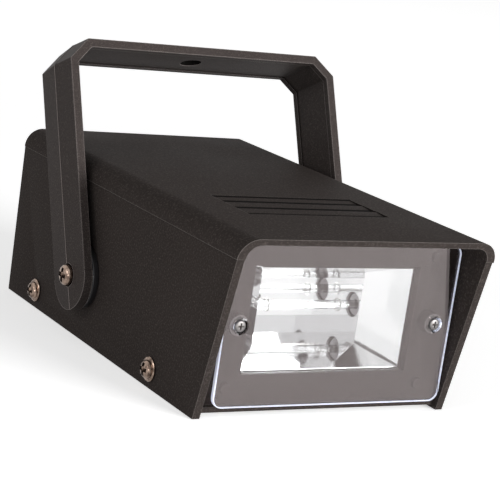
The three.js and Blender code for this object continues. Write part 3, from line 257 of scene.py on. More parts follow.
class EdgeWearHighlightShade(EffectGroup):
    """A mask along the convex edges of a piece, for wear and a painted highlight, and one in its
    narrow corners, for painted shade.
    """

    name = "edge_wear_highlight_shade"
    inputs = (("Width", 0.0004),)
    outputs = ("Mask", "Corner Shade")
    samples = 6
    bent = (0.995, 0.9, 0.0, 1.0)
    clear = (0.7, 0.95, 0.0, 1.0)
    closed = (0.95, 0.5, 0.0, 1.0)
    corner_reach = 3.0

    def draw(self, sketch: Sketch, given: Outputs) -> dict[str, Socket]:
        """Compares the rounded normal with the real one, and measures how open a place is.

        Args:
            sketch: Draws in the group's tree.
            given: The group's inputs.

        Returns:
            What feeds each output.
        """
        bevel = sketch.add("ShaderNodeBevel", {"Radius": given["Width"]}, samples=self.samples)
        real = sketch.add("ShaderNodeNewGeometry")
        normals = {0: bevel.outputs["Normal"], 1: real.outputs["Normal"]}
        agreement = sketch.add("ShaderNodeVectorMath", normals, operation="DOT_PRODUCT")
        around = sketch.add(
            "ShaderNodeAmbientOcclusion",
            {"Distance": sketch.math("MULTIPLY", given["Width"], self.corner_reach)},
            samples=self.samples,
            only_local=True,
        ).outputs["AO"]
        bent = sketch.ramp(agreement.outputs["Value"], *self.bent)
        convex = sketch.math("MULTIPLY", bent, sketch.ramp(around, *self.clear))
        # Corner Shade is painted shade: it darkens narrow corners and creases where little is open
        # around.
        return {"Mask": convex, "Corner Shade": sketch.ramp(around, *self.closed)}


class FineDust(EffectGroup):
    """Sparse small specks of dust."""

    name = "fine_dust"
    inputs = (("Vector", None), ("Spread", 120.0), ("Amount", 0.05))
    outputs = ("Mask",)
    empty_share = 0.6

    def draw(self, sketch: Sketch, given: Outputs) -> dict[str, Socket]:
        """Draws small dots in some cells of a cell pattern.

        Args:
            sketch: Draws in the group's tree.
            given: The group's inputs.

        Returns:
            What feeds each output.
        """
        place = {"Vector": given["Vector"], "Scale": given["Spread"]}
        cells = sketch.add("ShaderNodeTexVoronoi", place).outputs
        dot = sketch.math("LESS_THAN", cells["Distance"], given["Amount"])
        chance = sketch.add("ShaderNodeSeparateColor", {"Color": cells["Color"]}).outputs[0]
        filled = sketch.math("GREATER_THAN", chance, self.empty_share)
        return {"Mask": sketch.math("MULTIPLY", dot, filled)}


class DrawnMetal(EffectGroup):
    """The fine scratches and stain of plated or drawn metal."""

    name = "drawn_metal"
    inputs = (("Vector", None), ("Scale", 900.0))
    outputs = ("Height", "Tone")
    detail = 3.0
    tone_detail = 2.0
    tone_scale = 0.25

    def draw(self, sketch: Sketch, given: Outputs) -> dict[str, Socket]:
        """Draws a fine noise for the height and a coarser one for the tone.

        Args:
            sketch: Draws in the group's tree.
            given: The group's inputs.

        Returns:
            What feeds each output.
        """
        fine = sketch.noise(given["Vector"], given["Scale"], self.detail)
        scale = sketch.math("MULTIPLY", given["Scale"], self.tone_scale)
        tone = sketch.noise(given["Vector"], scale, self.tone_detail)
        return {"Height": fine, "Tone": tone}


@dataclass(frozen=True)
class Finish:
    """What every finish has: a name and the record's slot that it stands for."""

    name: str
    slot: str

    def material(self) -> bpy.types.Material:
        """Builds the material, or finds it.

        Returns:
            The material.
        """
        found = bpy.data.materials.get(self.name)
        if found:
            return found
        made = bpy.data.materials.new(self.name)
        made.use_nodes = True
        sketch = Sketch(made.node_tree)
        sketch.add("ShaderNodeOutputMaterial", {"Surface": self.draw(sketch)})
        return made

    def draw(self, sketch: Sketch) -> Socket:
        """Draws the material's nodes and returns the shader's socket."""
        raise NotImplementedError


@dataclass(frozen=True)
class MouldedPlastic(Finish):
    """A moulded plastic with grain, drift of tone, paler edges from wear and a painted highlight,
    painted shade in its corners, and dust; its paler specks of grain also paint glints.
    """

    colour: Colour = (0.012, 0.011, 0.011)
    edge_wear_and_highlight: Colour = (0.05, 0.045, 0.045)
    dust_colour: Colour = (0.25, 0.22, 0.2)
    roughness: float = 0.5
    roughness_drift: float = 0.12
    specular: float = 0.3
    grain: float = 2200.0
    depth: float = 0.00003
    strength: float = 0.5
    edge_width: float = 0.0004
    edge_share: float = 0.6
    corner_shade_share: float = 0.8
    corner_shade_gain: float = 0.15
    dust: float = 0.02
    dust_share: float = 0.35
    speck: float = 0.5
    speck_glint_gain: float = 3.0
    darkest: float = 0.8
    palest: float = 1.25

    def draw(self, sketch: Sketch) -> Socket:
        """Draws the plastic.

        Args:
            sketch: Draws in the material's tree.

        Returns:
            The shader's socket.
        """
        place = sketch.place()
        grain = MouldGrain().place(sketch, {"Vector": place, "Grain": self.grain})
        edge = EdgeWearHighlightShade().place(sketch, {"Width": self.edge_width})
        dust = FineDust().place(sketch, {"Vector": place, "Amount": self.dust})
        colour = sketch.blend(grain["Tone"], self.tinted(self.darkest), self.tinted(self.palest))
        # Layers over the tone: paler specks of grain, which also paint glints; paler edges from
        # wear and a painted highlight; dust; painted shade in narrow corners.
        for mask, share, layer in (
            (grain["Speck"], self.speck, self.tinted(self.speck_glint_gain)),
            (edge["Mask"], self.edge_share, self.edge_wear_and_highlight),
            (dust["Mask"], self.dust_share, self.dust_colour),
            (edge["Corner Shade"], self.corner_shade_share, self.tinted(self.corner_shade_gain)),
        ):
            colour = sketch.blend(sketch.math("MULTIPLY", mask, share), colour, layer)
        span = (self.roughness - self.roughness_drift, self.roughness + self.roughness_drift)
        values = {
            "Base Color": colour,
            "Roughness": sketch.ramp(grain["Tone"], 0.0, 1.0, *span),
            "Specular IOR Level": self.specular,
            "Normal": sketch.bump(grain["Height"], self.depth, self.strength),
        }
        return sketch.add("ShaderNodeBsdfPrincipled", values).outputs["BSDF"]

    def tinted(self, gain: float) -> Colour:
        """The plastic's colour times a gain."""
        return tuple(gain * value for value in self.colour)


@dataclass(frozen=True)
class DrawnFinish(Finish):
    """A finish with fine scratches. It can have a stain, bright edges, a peel or a painted glow. On
    the warm screws the stain is partly painted dark reflection, and on the plate's cut edge it is
    painted light.
    """

    colour: Colour = WHITE
    stain: Colour | None = None
    stain_share: float = 1.0
    stain_tone: tuple[float, float] = (0.0, 1.0)
    edge_share: float = 0.0
    edge_width: float = 0.0002
    metallic: float = 0.0
    transmission: float = 0.0
    index: float = 1.5
    tint: Colour = WHITE
    glow: float = 0.0
    roughness: float = 0.15
    roughness_drift: float = 0.2
    grain: float = 900.0
    depth: float = 0.00001
    strength: float = 0.4
    peel: float = 90.0
    peel_detail: float = 1.0
    peel_gain: float = 0.0

    def draw(self, sketch: Sketch) -> Socket:
        """Draws the scratches and whatever else the finish has.

        Args:
            sketch: Draws in the material's tree.

        Returns:
            The shader's socket.
        """
        place = sketch.place()
        drawn = DrawnMetal().place(sketch, {"Vector": place, "Scale": self.grain})
        colour, height = self.colour, drawn["Height"]
        if self.stain:
            blotch = sketch.ramp(drawn["Tone"], *self.stain_tone, 0.0, self.stain_share)
            colour = sketch.blend(blotch, colour, self.stain)
        if self.edge_share:
            edge = EdgeWearHighlightShade().place(sketch, {"Width": self.edge_width})["Mask"]
            bright = sketch.math("MULTIPLY", edge, self.edge_share)
            colour = sketch.blend(bright, colour, self.colour)
        if self.peel_gain:
            peel = sketch.noise(place, self.peel, self.peel_detail)
            height = sketch.math("MULTIPLY_ADD", peel, self.peel_gain, height)
        drift = (drawn["Tone"], self.roughness_drift, self.roughness)
        values = {
            "Base Color": colour,
            "Metallic": self.metallic,
            "Roughness": sketch.math("MULTIPLY_ADD", *drift),
            "IOR": self.index,
            "Specular Tint": self.tint,
            "Transmission Weight": self.transmission,
        }
        if self.depth:
            values["Normal"] = sketch.bump(height, self.depth, self.strength)
        if self.glow:
            values |= {"Emission Color": colour, "Emission Strength": self.glow}
        return sketch.add("ShaderNodeBsdfPrincipled", values).outputs["BSDF"]


@dataclass(frozen=True)
class PlatedMetal(DrawnFinish):
    """A plated metal with a slight stain and bright edges."""

    stain_share: float = 0.5
    stain_tone: tuple[float, float] = (0.38, 0.62)
    edge_share: float = 0.5
    metallic: float = 1.0


@dataclass(frozen=True)
class ClearGlass(DrawnFinish):
    """A clear glass or acrylic, with faint smears."""

    transmission: float = 1.0
    roughness: float = 0.01
    roughness_drift: float = 0.02
    grain: float = 60.0
    depth: float = 0.0


@dataclass(frozen=True)
class PaleFloor(Finish):
    """A matte floor that looks white to the camera and keeps a soft shadow."""

    colour: Colour = (0.9, 0.9, 0.9)
    reach: tuple[float, float] = (0.2, 1.2)
    glow: tuple[float, float] = (0.54, 0.74)

    def draw(self, sketch: Sketch) -> Socket:
        """Draws the floor, whose glow grows with the distance from the middle.

        Args:
            sketch: Draws in the material's tree.

        Returns:
            The shader's socket.
        """
        away = sketch.add("ShaderNodeVectorMath", {0: sketch.place()}, operation="LENGTH")
        level = sketch.ramp(away.outputs["Value"], *self.reach, *self.glow)
        share = sketch.math("MULTIPLY", sketch.white_share(), level)
        matte = sketch.add("ShaderNodeBsdfDiffuse", {"Color": self.colour})
        glow = sketch.add("ShaderNodeEmission", {"Color": WHITE, "Strength": share})
        both = sketch.add("ShaderNodeAddShader", {0: matte.outputs[0], 1: glow.outputs[0]})
        return both.outputs[0]


# The edge colours of the plastics below are paler than the plastic: partly wear, partly a painted
# highlight along the edges.
BLACK_CASE = MouldedPlastic(
    "black_case", "black_plastic", colour=(0.032, 0.0265, 0.0244),
    edge_wear_and_highlight=(0.2, 0.18, 0.17), roughness=0.66, specular=0.02, speck=1.2, speck_glint_gain=2.6,
    grain=1500.0, depth=0.00006,
)
# A near-black finish that paints shade on the louvres' low parts and on the walls of the yoke's
# hanging hole.
PAINTED_SHADE = MouldedPlastic(
    "painted_slot_shade", "black_plastic", colour=(0.004, 0.0034, 0.0032),
    edge_wear_and_highlight=(0.006, 0.005, 0.005), roughness=0.8, specular=0.02, dust=0.0,
)
BLACK_FRONT = MouldedPlastic(
    "black_front", "black_plastic", colour=(0.02, 0.014, 0.0133),
    edge_wear_and_highlight=(0.1, 0.085, 0.083), specular=0.1, grain=3000.0,
)
# A paler copy of the bezel's black: painted light on the bosses' end faces.
BOSS_LIGHT = MouldedPlastic(
    "bezel_boss_painted_light", "black_plastic", colour=(0.12, 0.108, 0.106),
    edge_wear_and_highlight=(0.14, 0.125, 0.122), specular=0.1,
)
BLACK_YOKE = MouldedPlastic(
    "black_yoke", "yoke_plastic", colour=(0.0365, 0.030, 0.028),
    edge_wear_and_highlight=(0.24, 0.215, 0.205), specular=0.03, speck=1.0, grain=2400.0, edge_width=0.0005,
    edge_share=0.9,
)
# A pale copy of the yoke's black: a painted highlight on the raised parting line.
PARTING_LINE_HIGHLIGHT = MouldedPlastic(
    "yoke_parting_line_highlight", "yoke_plastic", colour=(0.24, 0.205, 0.19),
    edge_wear_and_highlight=(0.3, 0.26, 0.245), specular=0.1,
)
BLACK_NYLON = MouldedPlastic(
    "black_nylon_part", "black_nylon", colour=(0.014, 0.0135, 0.0145), roughness=0.32,
    specular=0.45, grain=3600.0,
)
PALE_SLEEVE = MouldedPlastic(
    "pale_sleeve", "pale_rubber", colour=(0.62, 0.6, 0.62), edge_wear_and_highlight=(0.7, 0.7, 0.72),
    roughness=0.4, speck=0.1,
)
# Its dark blotches, given as stain, are partly real tarnish and partly painted dark reflections of
# the room.
WARM_NICKEL = PlatedMetal(
    "warm_plated_screw", "warm_nickel", colour=(0.36, 0.265, 0.21), stain=(0.045, 0.027, 0.02),
    stain_share=0.8, roughness=0.12, grain=2200.0,
)
# The first of these paints shade in the screws' cross recesses, as a dark copy of the screws'
# metal.
RECESS_SHADE, GREY_STEEL, SILVER_STEEL, COPPER = (
    PlatedMetal(name, slot, colour=colour, stain=stain, roughness=roughness)
    for name, slot, colour, stain, roughness in (
        ("screw_recess_painted_shade", "warm_nickel", (0.06, 0.042, 0.034), (0.012, 0.009, 0.008), 0.35),
        ("grey_screw", "silver_steel", (0.2, 0.19, 0.187), (0.12, 0.114, 0.11), 0.35),
        ("bright_plated_steel", "silver_steel", (0.62, 0.61, 0.6), (0.4, 0.38, 0.36), 0.15),
        ("enamelled_winding", "copper_winding", (0.55, 0.24, 0.1), (0.3, 0.1, 0.04), 0.15),
    )
)
PLATE_CLEAR = ClearGlass("plate_clear", "clear_plastic", index=1.8, tint=(1.0, 0.87, 0.86))
# The cut edges are painted light: a pale bluish colour with a paler mottle, given as stain, and a
# glow, though they are no lamp.
PLATE_EDGE_GLOW = DrawnFinish(
    "plate_cut_edge_glow", "clear_plastic", colour=(0.66, 0.7, 0.9), stain=(0.9, 0.93, 1.0),
    roughness=0.35, roughness_drift=0.0, depth=0.00002, glow=0.3,
)
TUBE_GLASS = ClearGlass("tube_clear", "tube_glass")
CHROME = DrawnFinish(
    "trough_mirror", "bright_chrome", colour=(0.87, 0.865, 0.87), metallic=1.0, roughness=0.04,
    roughness_drift=0.03, grain=1600.0, depth=0.000012, strength=0.5, peel_gain=5.0,
)
FLOOR_WHITE = PaleFloor("floor_white", "")
PLAIN_FINISHES = tuple(
    MouldedPlastic(name, slot, colour=colour, roughness=roughness)
    for name, slot, colour, roughness in (
        ("board_green", "board_laminate", (0.03, 0.11, 0.04), 0.35),
        ("can_wrap", "can_sleeve", (0.02, 0.025, 0.05), 0.25),
        ("dipped_red", "red_film", (0.3, 0.03, 0.02), 0.25),
        ("ceramic_white", "white_ceramic", (0.65, 0.62, 0.56), 0.8),
        ("resin_black", "black_resin", (0.012, 0.011, 0.011), 0.4),
        ("terminal_green", "green_plastic", (0.03, 0.2, 0.08), 0.35),
        ("lead_red", "red_lead", (0.35, 0.02, 0.01), 0.3),
        ("lead_white", "white_lead", (0.7, 0.68, 0.62), 0.3),
    )
)
SLOT_FINISHES: dict[str, Finish] = {
    finish.slot: finish
    for finish in (
        BLACK_CASE, BLACK_NYLON, PALE_SLEEVE, SILVER_STEEL, COPPER, CHROME, TUBE_GLASS,
        *PLAIN_FINISHES,
    )
}


# Modelling helpers


def deselect() -> None:
    """Deselects every object."""
    bpy.ops.object.select_all(action="DESELECT")


def focus(piece: Piece) -> None:
    """Makes a piece the only selected one and the active one.

    Args:
        piece: The piece.
    """
    deselect()
    piece.select_set(True)
    bpy.context.view_layer.objects.active = piece


def edit(piece: Piece) -> None:
    """Opens a piece in edit mode."""
    focus(piece)
    bpy.ops.object.mode_set(mode="EDIT")


def close() -> None:
    """Goes back to object mode."""
    bpy.ops.object.mode_set(mode="OBJECT")


def select_parts(piece: Piece, kind: str, test: Callable[[EditPart], bool]) -> int:
    """Selects the faces or the edges of a piece that pass a test.

    Args:
        piece: The piece, which is open in edit mode.
        kind: FACE or EDGE.
        test: Says whether one is selected.

    Returns:
        How many are selected.
    """
    bpy.ops.mesh.select_mode(type=kind)
    bpy.ops.mesh.select_all(action="DESELECT")
    mesh = bmesh.from_edit_mesh(piece.data)
    chosen = [part for part in (mesh.faces if kind == "FACE" else mesh.edges) if test(part)]
    for part in chosen:
        part.select_set(True)
    mesh.select_flush_mode()
    bmesh.update_edit_mesh(piece.data)
    return len(chosen)


def give(piece: Piece, *finishes: Finish) -> None:
    """Adds finishes to a piece, numbered from 0 in their order."""
    for finish in finishes:
        piece.data.materials.append(finish.material())


def number_selected(piece: Piece, number: int) -> None:
    """Gives the selected faces of a piece that is open in edit mode the finish of a number."""
    piece.active_material_index = number
    bpy.ops.object.material_slot_assign()


def number_faces(piece: Piece, number: int, test: Callable[[Polygon], bool]) -> None:
    """Gives the faces of a piece that pass a test the finish of a number."""
    for face in filter(test, piece.data.polygons):
        face.material_index = number


def apply(piece: Piece, modifier: bpy.types.Modifier) -> None:
    """Applies a modifier of a piece."""
    focus(piece)
    bpy.ops.object.modifier_apply(modifier=modifier.name)


def rounded(piece: Piece, width: float, segments: int = 2, limit: float = 30.0) -> None:
    """Rounds the sharp edges of a piece with an applied bevel.

    Args:
        piece: The piece.
        width: How far the rounding reaches from an edge.
        segments: How many faces the rounding has.
        limit: Edges sharper than this many degrees are rounded.
    """
    bevel = piece.modifiers.new("round_edges", "BEVEL")
    bevel.width = width
    bevel.segments = segments
    bevel.limit_method = "ANGLE"
    bevel.angle_limit = math.radians(limit)
    bevel.miter_outer = "MITER_ARC"
    bevel.use_clamp_overlap = False
    apply(piece, bevel)


def round_wide(piece: Piece, width: float, thin_face: float, limit: float = 25.0) -> None:
    """Rounds the sharp edges of a piece that lie between two wide faces.

    Args:
        piece: The piece.
        width: How far the rounding reaches from an edge.
        thin_face: A face narrower than this keeps its edges sharp.
        limit: Edges sharper than this many degrees are rounded.
    """

    def is_wide(face: EditFace) -> bool:
        """Says whether a face is wide enough for rounded edges."""
        longest = max(side.calc_length() for side in face.edges)
        return face.calc_area() / longest > thin_face

    def is_roundable(edge: EditEdge) -> bool:
        """Says whether an edge is sharp and lies between two wide faces."""
        sharp = len(edge.link_faces) == 2 and edge.calc_face_angle(0.0) > math.radians(limit)
        return sharp and edge.calc_length() >= thin_face and all(map(is_wide, edge.link_faces))

    edit(piece)
    if select_parts(piece, "EDGE", is_roundable):
        bpy.ops.mesh.bevel(offset=width, segments=2, clamp_overlap=False, affect="EDGES")
    close()


def smooth(piece: Piece, angle: float = 30.0) -> None:
    """Shades a piece smooth where its faces meet at less than an angle in degrees."""
    focus(piece)
    bpy.ops.object.shade_smooth_by_angle(angle=math.radians(angle))


def merged_copy(node: str, name: str) -> Piece:
    """Copies a node's mesh, merges its corners and joins its flat triangles.

    Args:
        node: The node that is copied.
        name: The new piece's name.

    Returns:
        The new piece.
    """
    piece = bpy.data.objects.new(name, frame["nodes"][node].data.copy())
    piece.data.name = name
    piece.data.materials.clear()
    bpy.context.scene.collection.objects.link(piece)
    focus(piece)
    bpy.ops.mesh.customdata_custom_splitnormals_clear()
    edit(piece)
    bpy.ops.mesh.select_all(action="SELECT")
    bpy.ops.mesh.remove_doubles(threshold=MERGE_REACH)
    flat = math.radians(FLAT_ANGLE)
    bpy.ops.mesh.dissolve_limited(angle_limit=flat, use_dissolve_boundaries=False)
    close()
    return piece


def turned(name: str, rings: Rings, sides: int) -> Piece:
    """Builds a round piece along Z from a disc, by extruding and resizing it ring by ring.

    Args:
        name: The piece's name.
        rings: Radius and height of each ring, from the bottom up.
        sides: How many sides it has.

    Returns:
        The piece.
    """
    deselect()
    radius, height = rings[0]
    bpy.ops.mesh.primitive_circle_add(vertices=sides, radius=radius, fill_type="NGON")
    piece = bpy.context.object
    piece.name = name
    piece.data.name = name
    bpy.ops.object.mode_set(mode="EDIT")
    bpy.ops.mesh.select_mode(type="FACE")
    bpy.ops.mesh.select_all(action="SELECT")
    bpy.ops.transform.translate(value=(0.0, 0.0, height))
    for next_radius, next_height in rings[1:]:
        rise = {"value": (0.0, 0.0, next_height - height)}
        bpy.ops.mesh.extrude_region_move(TRANSFORM_OT_translate=rise)
        scale = next_radius / radius
        middle = (0.0, 0.0, next_height)
        bpy.ops.transform.resize(value=(scale, scale, 1.0), center_override=middle)
        radius, height = next_radius, next_height
    bpy.ops.mesh.select_all(action="SELECT")
    bpy.ops.mesh.normals_make_consistent(inside=False)
    close()
    return piece


def settle(piece: Piece, turn: Point, place: Sequence[float]) -> None:
    """Turns and moves a piece, and writes its place into its mesh.

    Args:
        piece: The piece.
        turn: Its turns about X, Y and Z in degrees.
        place: Where its origin goes.
    """
    focus(piece)
    piece.rotation_euler = [math.radians(angle) for angle in turn]
    piece.location = place
    bpy.ops.object.transform_apply(location=True, rotation=True, scale=True)


def combine(piece: Piece, other: Piece, operation: str) -> None:
    """Joins another shape to a piece or cuts it out, and deletes the other one.

    Args:
        piece: The piece that stays.
        other: The other shape.
        operation: UNION or DIFFERENCE.
    """
    boolean = piece.modifiers.new("combine", "BOOLEAN")
    boolean.operation = operation
    boolean.solver = "EXACT"
    boolean.object = other
    apply(piece, boolean)
    bpy.data.objects.remove(other, do_unlink=True)


def dress(piece: Piece, finish: Finish, body: Body, *names: str) -> None:
    """Gives a new piece its finish and its body, and hides the nodes that it stands for.

    Args:
        piece: The piece.
        finish: Its finish, unless it has one.
        body: The body that it rides on.
        *names: The nodes that it stands for.
    """
    if not piece.data.materials:
        give(piece, finish)
    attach(piece, body.value)
    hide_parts(*names)
    LOG.info("%s rides on %s", piece.name, body.value)


def dress_node(node: str, finish: Finish) -> None:
    """Gives a node that stays its finish."""
    frame["nodes"][node].data.materials.clear()
    give(frame["nodes"][node], finish)


# Studio


@dataclass(frozen=True)
class Softbox:
    """A square soft lamp, which points at the housing unless it has another aim."""

    name: str
    place: Point
    size: float
    radiance: float
    aim: Point = (0.0, 0.0, 0.04)

    def build(self) -> None:
        """Adds the lamp."""
        data = bpy.data.lights.new(self.name, "AREA")
        data.shape = "SQUARE"
        data.size = self.size
        data.energy = self.radiance * math.pi * self.size**2
        lamp = bpy.data.objects.new(self.name, data)
        lamp.location = self.place
        way = Vector(self.aim) - Vector(self.place)
        lamp.rotation_euler = way.to_track_quat("-Z", "Y").to_euler()
        bpy.context.scene.collection.objects.link(lamp)


@dataclass
class Studio:
    """The camera, the soft lamps, the white surroundings and the floor."""

    eye: Point = (-0.35209, -0.58257, 0.18941)
    right: Point = (0.8571, -0.4946, 0.1436)
    up: Point = (-0.0129, 0.2581, 0.9660)
    lens: float = 132.24
    clip: tuple[float, float] = (0.01, 50.0)
    ambient: float = 0.2
    floor_half: float = 4.0
    floor_drop: float = 0.0002
    lamps: tuple[Softbox, ...] = (
        Softbox("front_softbox", (1.0, -2.2, 0.45), 1.2, 21.0),
        Softbox("left_softbox", (-1.6, -2.0, 0.2), 1.0, 6.0),
        Softbox("top_softbox", (-0.3, -0.3, 1.7), 1.3, 0.1),
        Softbox("floor_softbox", (-1.0, -0.3, 0.5), 0.5, 3.5, (-0.35, -0.1, 0.0)),
    )

    def build(self) -> None:
        """Builds the whole studio."""
        self.camera()
        self.surroundings()
        self.floor()
        for lamp in self.lamps:
            lamp.build()

    def camera(self) -> None:
        """Adds the camera at the picture's viewing angle."""
        data = bpy.data.cameras.new("view")
        data.lens = self.lens
        data.clip_start, data.clip_end = self.clip
        camera = bpy.data.objects.new("view", data)
        right = Vector(self.right).normalized()
        back = right.cross(Vector(self.up)).normalized()
        turn = Matrix((right, back.cross(right), back)).transposed().to_4x4()
        camera.matrix_world = Matrix.Translation(Vector(self.eye)) @ turn
        bpy.context.scene.collection.objects.link(camera)
        bpy.context.scene.camera = camera

    def surroundings(self) -> None:
        """Makes the world white where the camera sees it, and a soft light elsewhere."""
        world = bpy.data.worlds.new("white_room")
        bpy.context.scene.world = world
        world.use_nodes = True
        sketch = Sketch(world.node_tree)
        glow = (sketch.white_share(), 1.0 - self.ambient, self.ambient)
        strength = sketch.math("MULTIPLY_ADD", *glow)
        background = sketch.add("ShaderNodeBackground", {"Color": WHITE, "Strength": strength})
        sketch.add("ShaderNodeOutputWorld", {"Surface": background.outputs[0]})
        bpy.context.scene.view_settings.view_transform = "Standard"

    def floor(self) -> None:
        """Adds the floor, a little below the housing's feet."""
        deselect()
        place = (0.0, 0.0, -self.floor_drop)
        bpy.ops.mesh.primitive_plane_add(size=2 * self.floor_half, location=place)
        floor = bpy.context.object
        floor.name = "floor"
        give(floor, FLOOR_WHITE)


# Sub-assemblies


@dataclass
class Housing:
    """The cover, the tray and the bezel, with softly rounded moulded edges."""

    edge_radius: float = 0.22 * MM
    thin_face: float = 1.0 * MM
    smooth_angle: float = 25.0
    louvre_half: float = 29.5 * MM
    louvre_reach: float = 30.8 * MM
    louvre_pitch: float = 9.2 * MM
    louvre_count: int = 3
    louvre_drop: tuple[float, float] = (0.1 * MM, 1.0 * MM)
    shade_reach: float = 3.6 * MM
    lip_shade: float = 1.6 * MM
    boss_radius: float = 3.8 * MM
    boss_gap: float = 0.5 * MM

    def build(self) -> None:
        """Builds and dresses the three mouldings."""
        for node, name, finish, detail in (
            ("top_cover", "cover_shell", BLACK_CASE, self.shade_louvres),
            ("base_tray", "tray_shell", BLACK_CASE, None),
            ("front_bezel", "bezel_frame", BLACK_FRONT, self.pale_bosses),
        ):
            piece = merged_copy(node, name)
            round_wide(piece, self.edge_radius, self.thin_face)
            if detail:
                detail(piece)
            smooth(piece, self.smooth_angle)
            dress(piece, finish, Body.HOUSING, node)

    def pale_bosses(self, piece: Piece) -> None:
        """Paints light on the bosses' end faces, which touch the clear plate, as a paler copy of
        the bezel's black.

        Args:
            piece: The bezel.
        """
        give(piece, BLACK_FRONT, BOSS_LIGHT)
        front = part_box("clear_plate")[1][1] + self.boss_gap
        screws = [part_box(f"plate_screw_{side.word}") for side in Side]
        middles = [(Vector(low) + Vector(high)) / 2 for low, high in screws]

        def is_boss_end(face: Polygon) -> bool:
            """Says whether a face is the end of a boss."""
            near = any((face.center - spot).xz.length < self.boss_radius for spot in middles)
            return near and face.normal.y < -LOOKS_ALONG and face.center.y < front

        number_faces(piece, 1, is_boss_end)

    def shade_bands(self) -> list[tuple[float, float]]:
        """Where shade is painted on the louvres: behind the rear lip and at each slat's low end.

        Returns:
            Each band's two distances from the origin, along -Y.
        """
        bands = [(self.louvre_reach, self.louvre_reach + self.lip_shade)]
        for index in range(self.louvre_count):
            front = self.louvre_reach + (index + 1) * self.louvre_pitch
            bands.append((front - self.shade_reach, front))
        return bands

    def shade_louvres(self, piece: Piece) -> None:
        """Paints shade on the low parts of the louvres, with a near-black finish.

        Args:
            piece: The cover.
        """
        give(piece, BLACK_CASE, PAINTED_SHADE)
        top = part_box("top_cover")[1][2]
        highest, lowest = (top - drop for drop in self.louvre_drop)
        bands = self.shade_bands()

        def on_slat(face: EditFace) -> bool:
            """Says whether a face is the sloping floor of a louvre.

            Args:
                face: A face of the cover.

            Returns:
                True if it is one.
            """
            x, y, z = face.calc_center_median()
            return (
                abs(x) < self.louvre_half
                and self.louvre_reach < -y < bands[-1][1]
                and lowest < z < highest
                and face.normal.z > LOOKS_ALONG
            )

        def in_band(face: EditFace) -> bool:
            """Says whether a face lies in one of the shaded bands."""
            reach = -face.calc_center_median().y
            return on_slat(face) and any(low < reach < high for low, high in bands)

        edit(piece)
        for reach in (bands[0][1], *(low for low, _ in bands[1:])):
            select_parts(piece, "FACE", on_slat)
            bpy.ops.mesh.bisect(plane_co=(0.0, -reach, 0.0), plane_no=(0.0, 1.0, 0.0))
        LOG.info("%d louvre faces are shaded", select_parts(piece, "FACE", in_band))
        number_selected(piece, 1)
        close()


@dataclass
class Yoke:
    """The ridged yoke with its raised parting line."""

    edge_radius: float = 0.22 * MM
    thin_face: float = 1.0 * MM
    smooth_angle: float = 4.0
    pivot: Point = (0.0, 13.9 * MM, 24.4 * MM)
    lean: float = 24.7
    line_half_width: float = 0.15 * MM
    line_rise: float = 0.1 * MM
    ridge_margin: float = 0.05 * MM
    ridge_angle: float = math.radians(2.0)
    hole_reach: float = 4.5 * MM
    hole_wall: float = 0.954

    def build(self) -> None:
        """Builds and dresses the yoke."""
        piece = merged_copy("yoke", "yoke_bracket")
        give(piece, BLACK_YOKE, PARTING_LINE_HIGHLIGHT, PAINTED_SHADE)
        round_wide(piece, self.edge_radius, self.thin_face)
        self.parting_line(piece)
        # Paints shade on the walls of the hanging hole.
        number_faces(piece, 2, self.in_hole)
        smooth(piece, self.smooth_angle)
        dress(piece, BLACK_YOKE, Body.YOKE, "yoke")

    def across(self) -> Vector:
        """The direction across the yoke's arms and bar, from its rear edge to its front one."""
        angle = math.radians(self.lean)
        return Vector((0.0, -math.cos(angle), math.sin(angle)))

    def off_middle(self, place: Vector) -> float:
        """How far a place lies from the yoke's middle plane."""
        return abs((place - Vector(self.pivot)).dot(self.across()))

    def in_bar(self, way: Vector) -> float:
        """The length of the share of a vector that lies in the plane of the bar."""
        return math.hypot(way.x, way.dot(self.across()))

    def in_hole(self, face: Polygon) -> bool:
        """Says whether a face of the yoke belongs to the wall of the hanging hole."""
        near = self.in_bar(face.center - Vector(self.pivot)) < self.hole_reach
        return near and self.in_bar(face.normal) > self.hole_wall

    def on_ridge(self, edge: EditEdge) -> bool:
        """Says whether an edge runs along the ridge, in the yoke's middle plane."""
        sharp = edge.calc_face_angle(0.0) > self.ridge_angle and edge.calc_length() > self.thin_face
        return sharp and all(self.off_middle(end.co) < self.ridge_margin for end in edge.verts)

    def parting_line(self, piece: Piece) -> None:
        """Raises the fine line that runs along the middle of the outside, and paints a highlight on
        it.

        Args:
            piece: The yoke.
        """
        edit(piece)
        count = select_parts(piece, "EDGE", self.on_ridge)
        LOG.info("%d edges carry the parting line", count)
        if count:
            width = self.line_half_width
            bpy.ops.mesh.bevel(offset=width, segments=1, clamp_overlap=False, affect="EDGES")
            bpy.ops.mesh.select_mode(type="FACE")
            rise = {"value": self.line_rise}
            bpy.ops.mesh.extrude_region_shrink_fatten(TRANSFORM_OT_shrink_fatten=rise)
            # Paints a highlight on the raised line.
            number_selected(piece, 1)
        close()


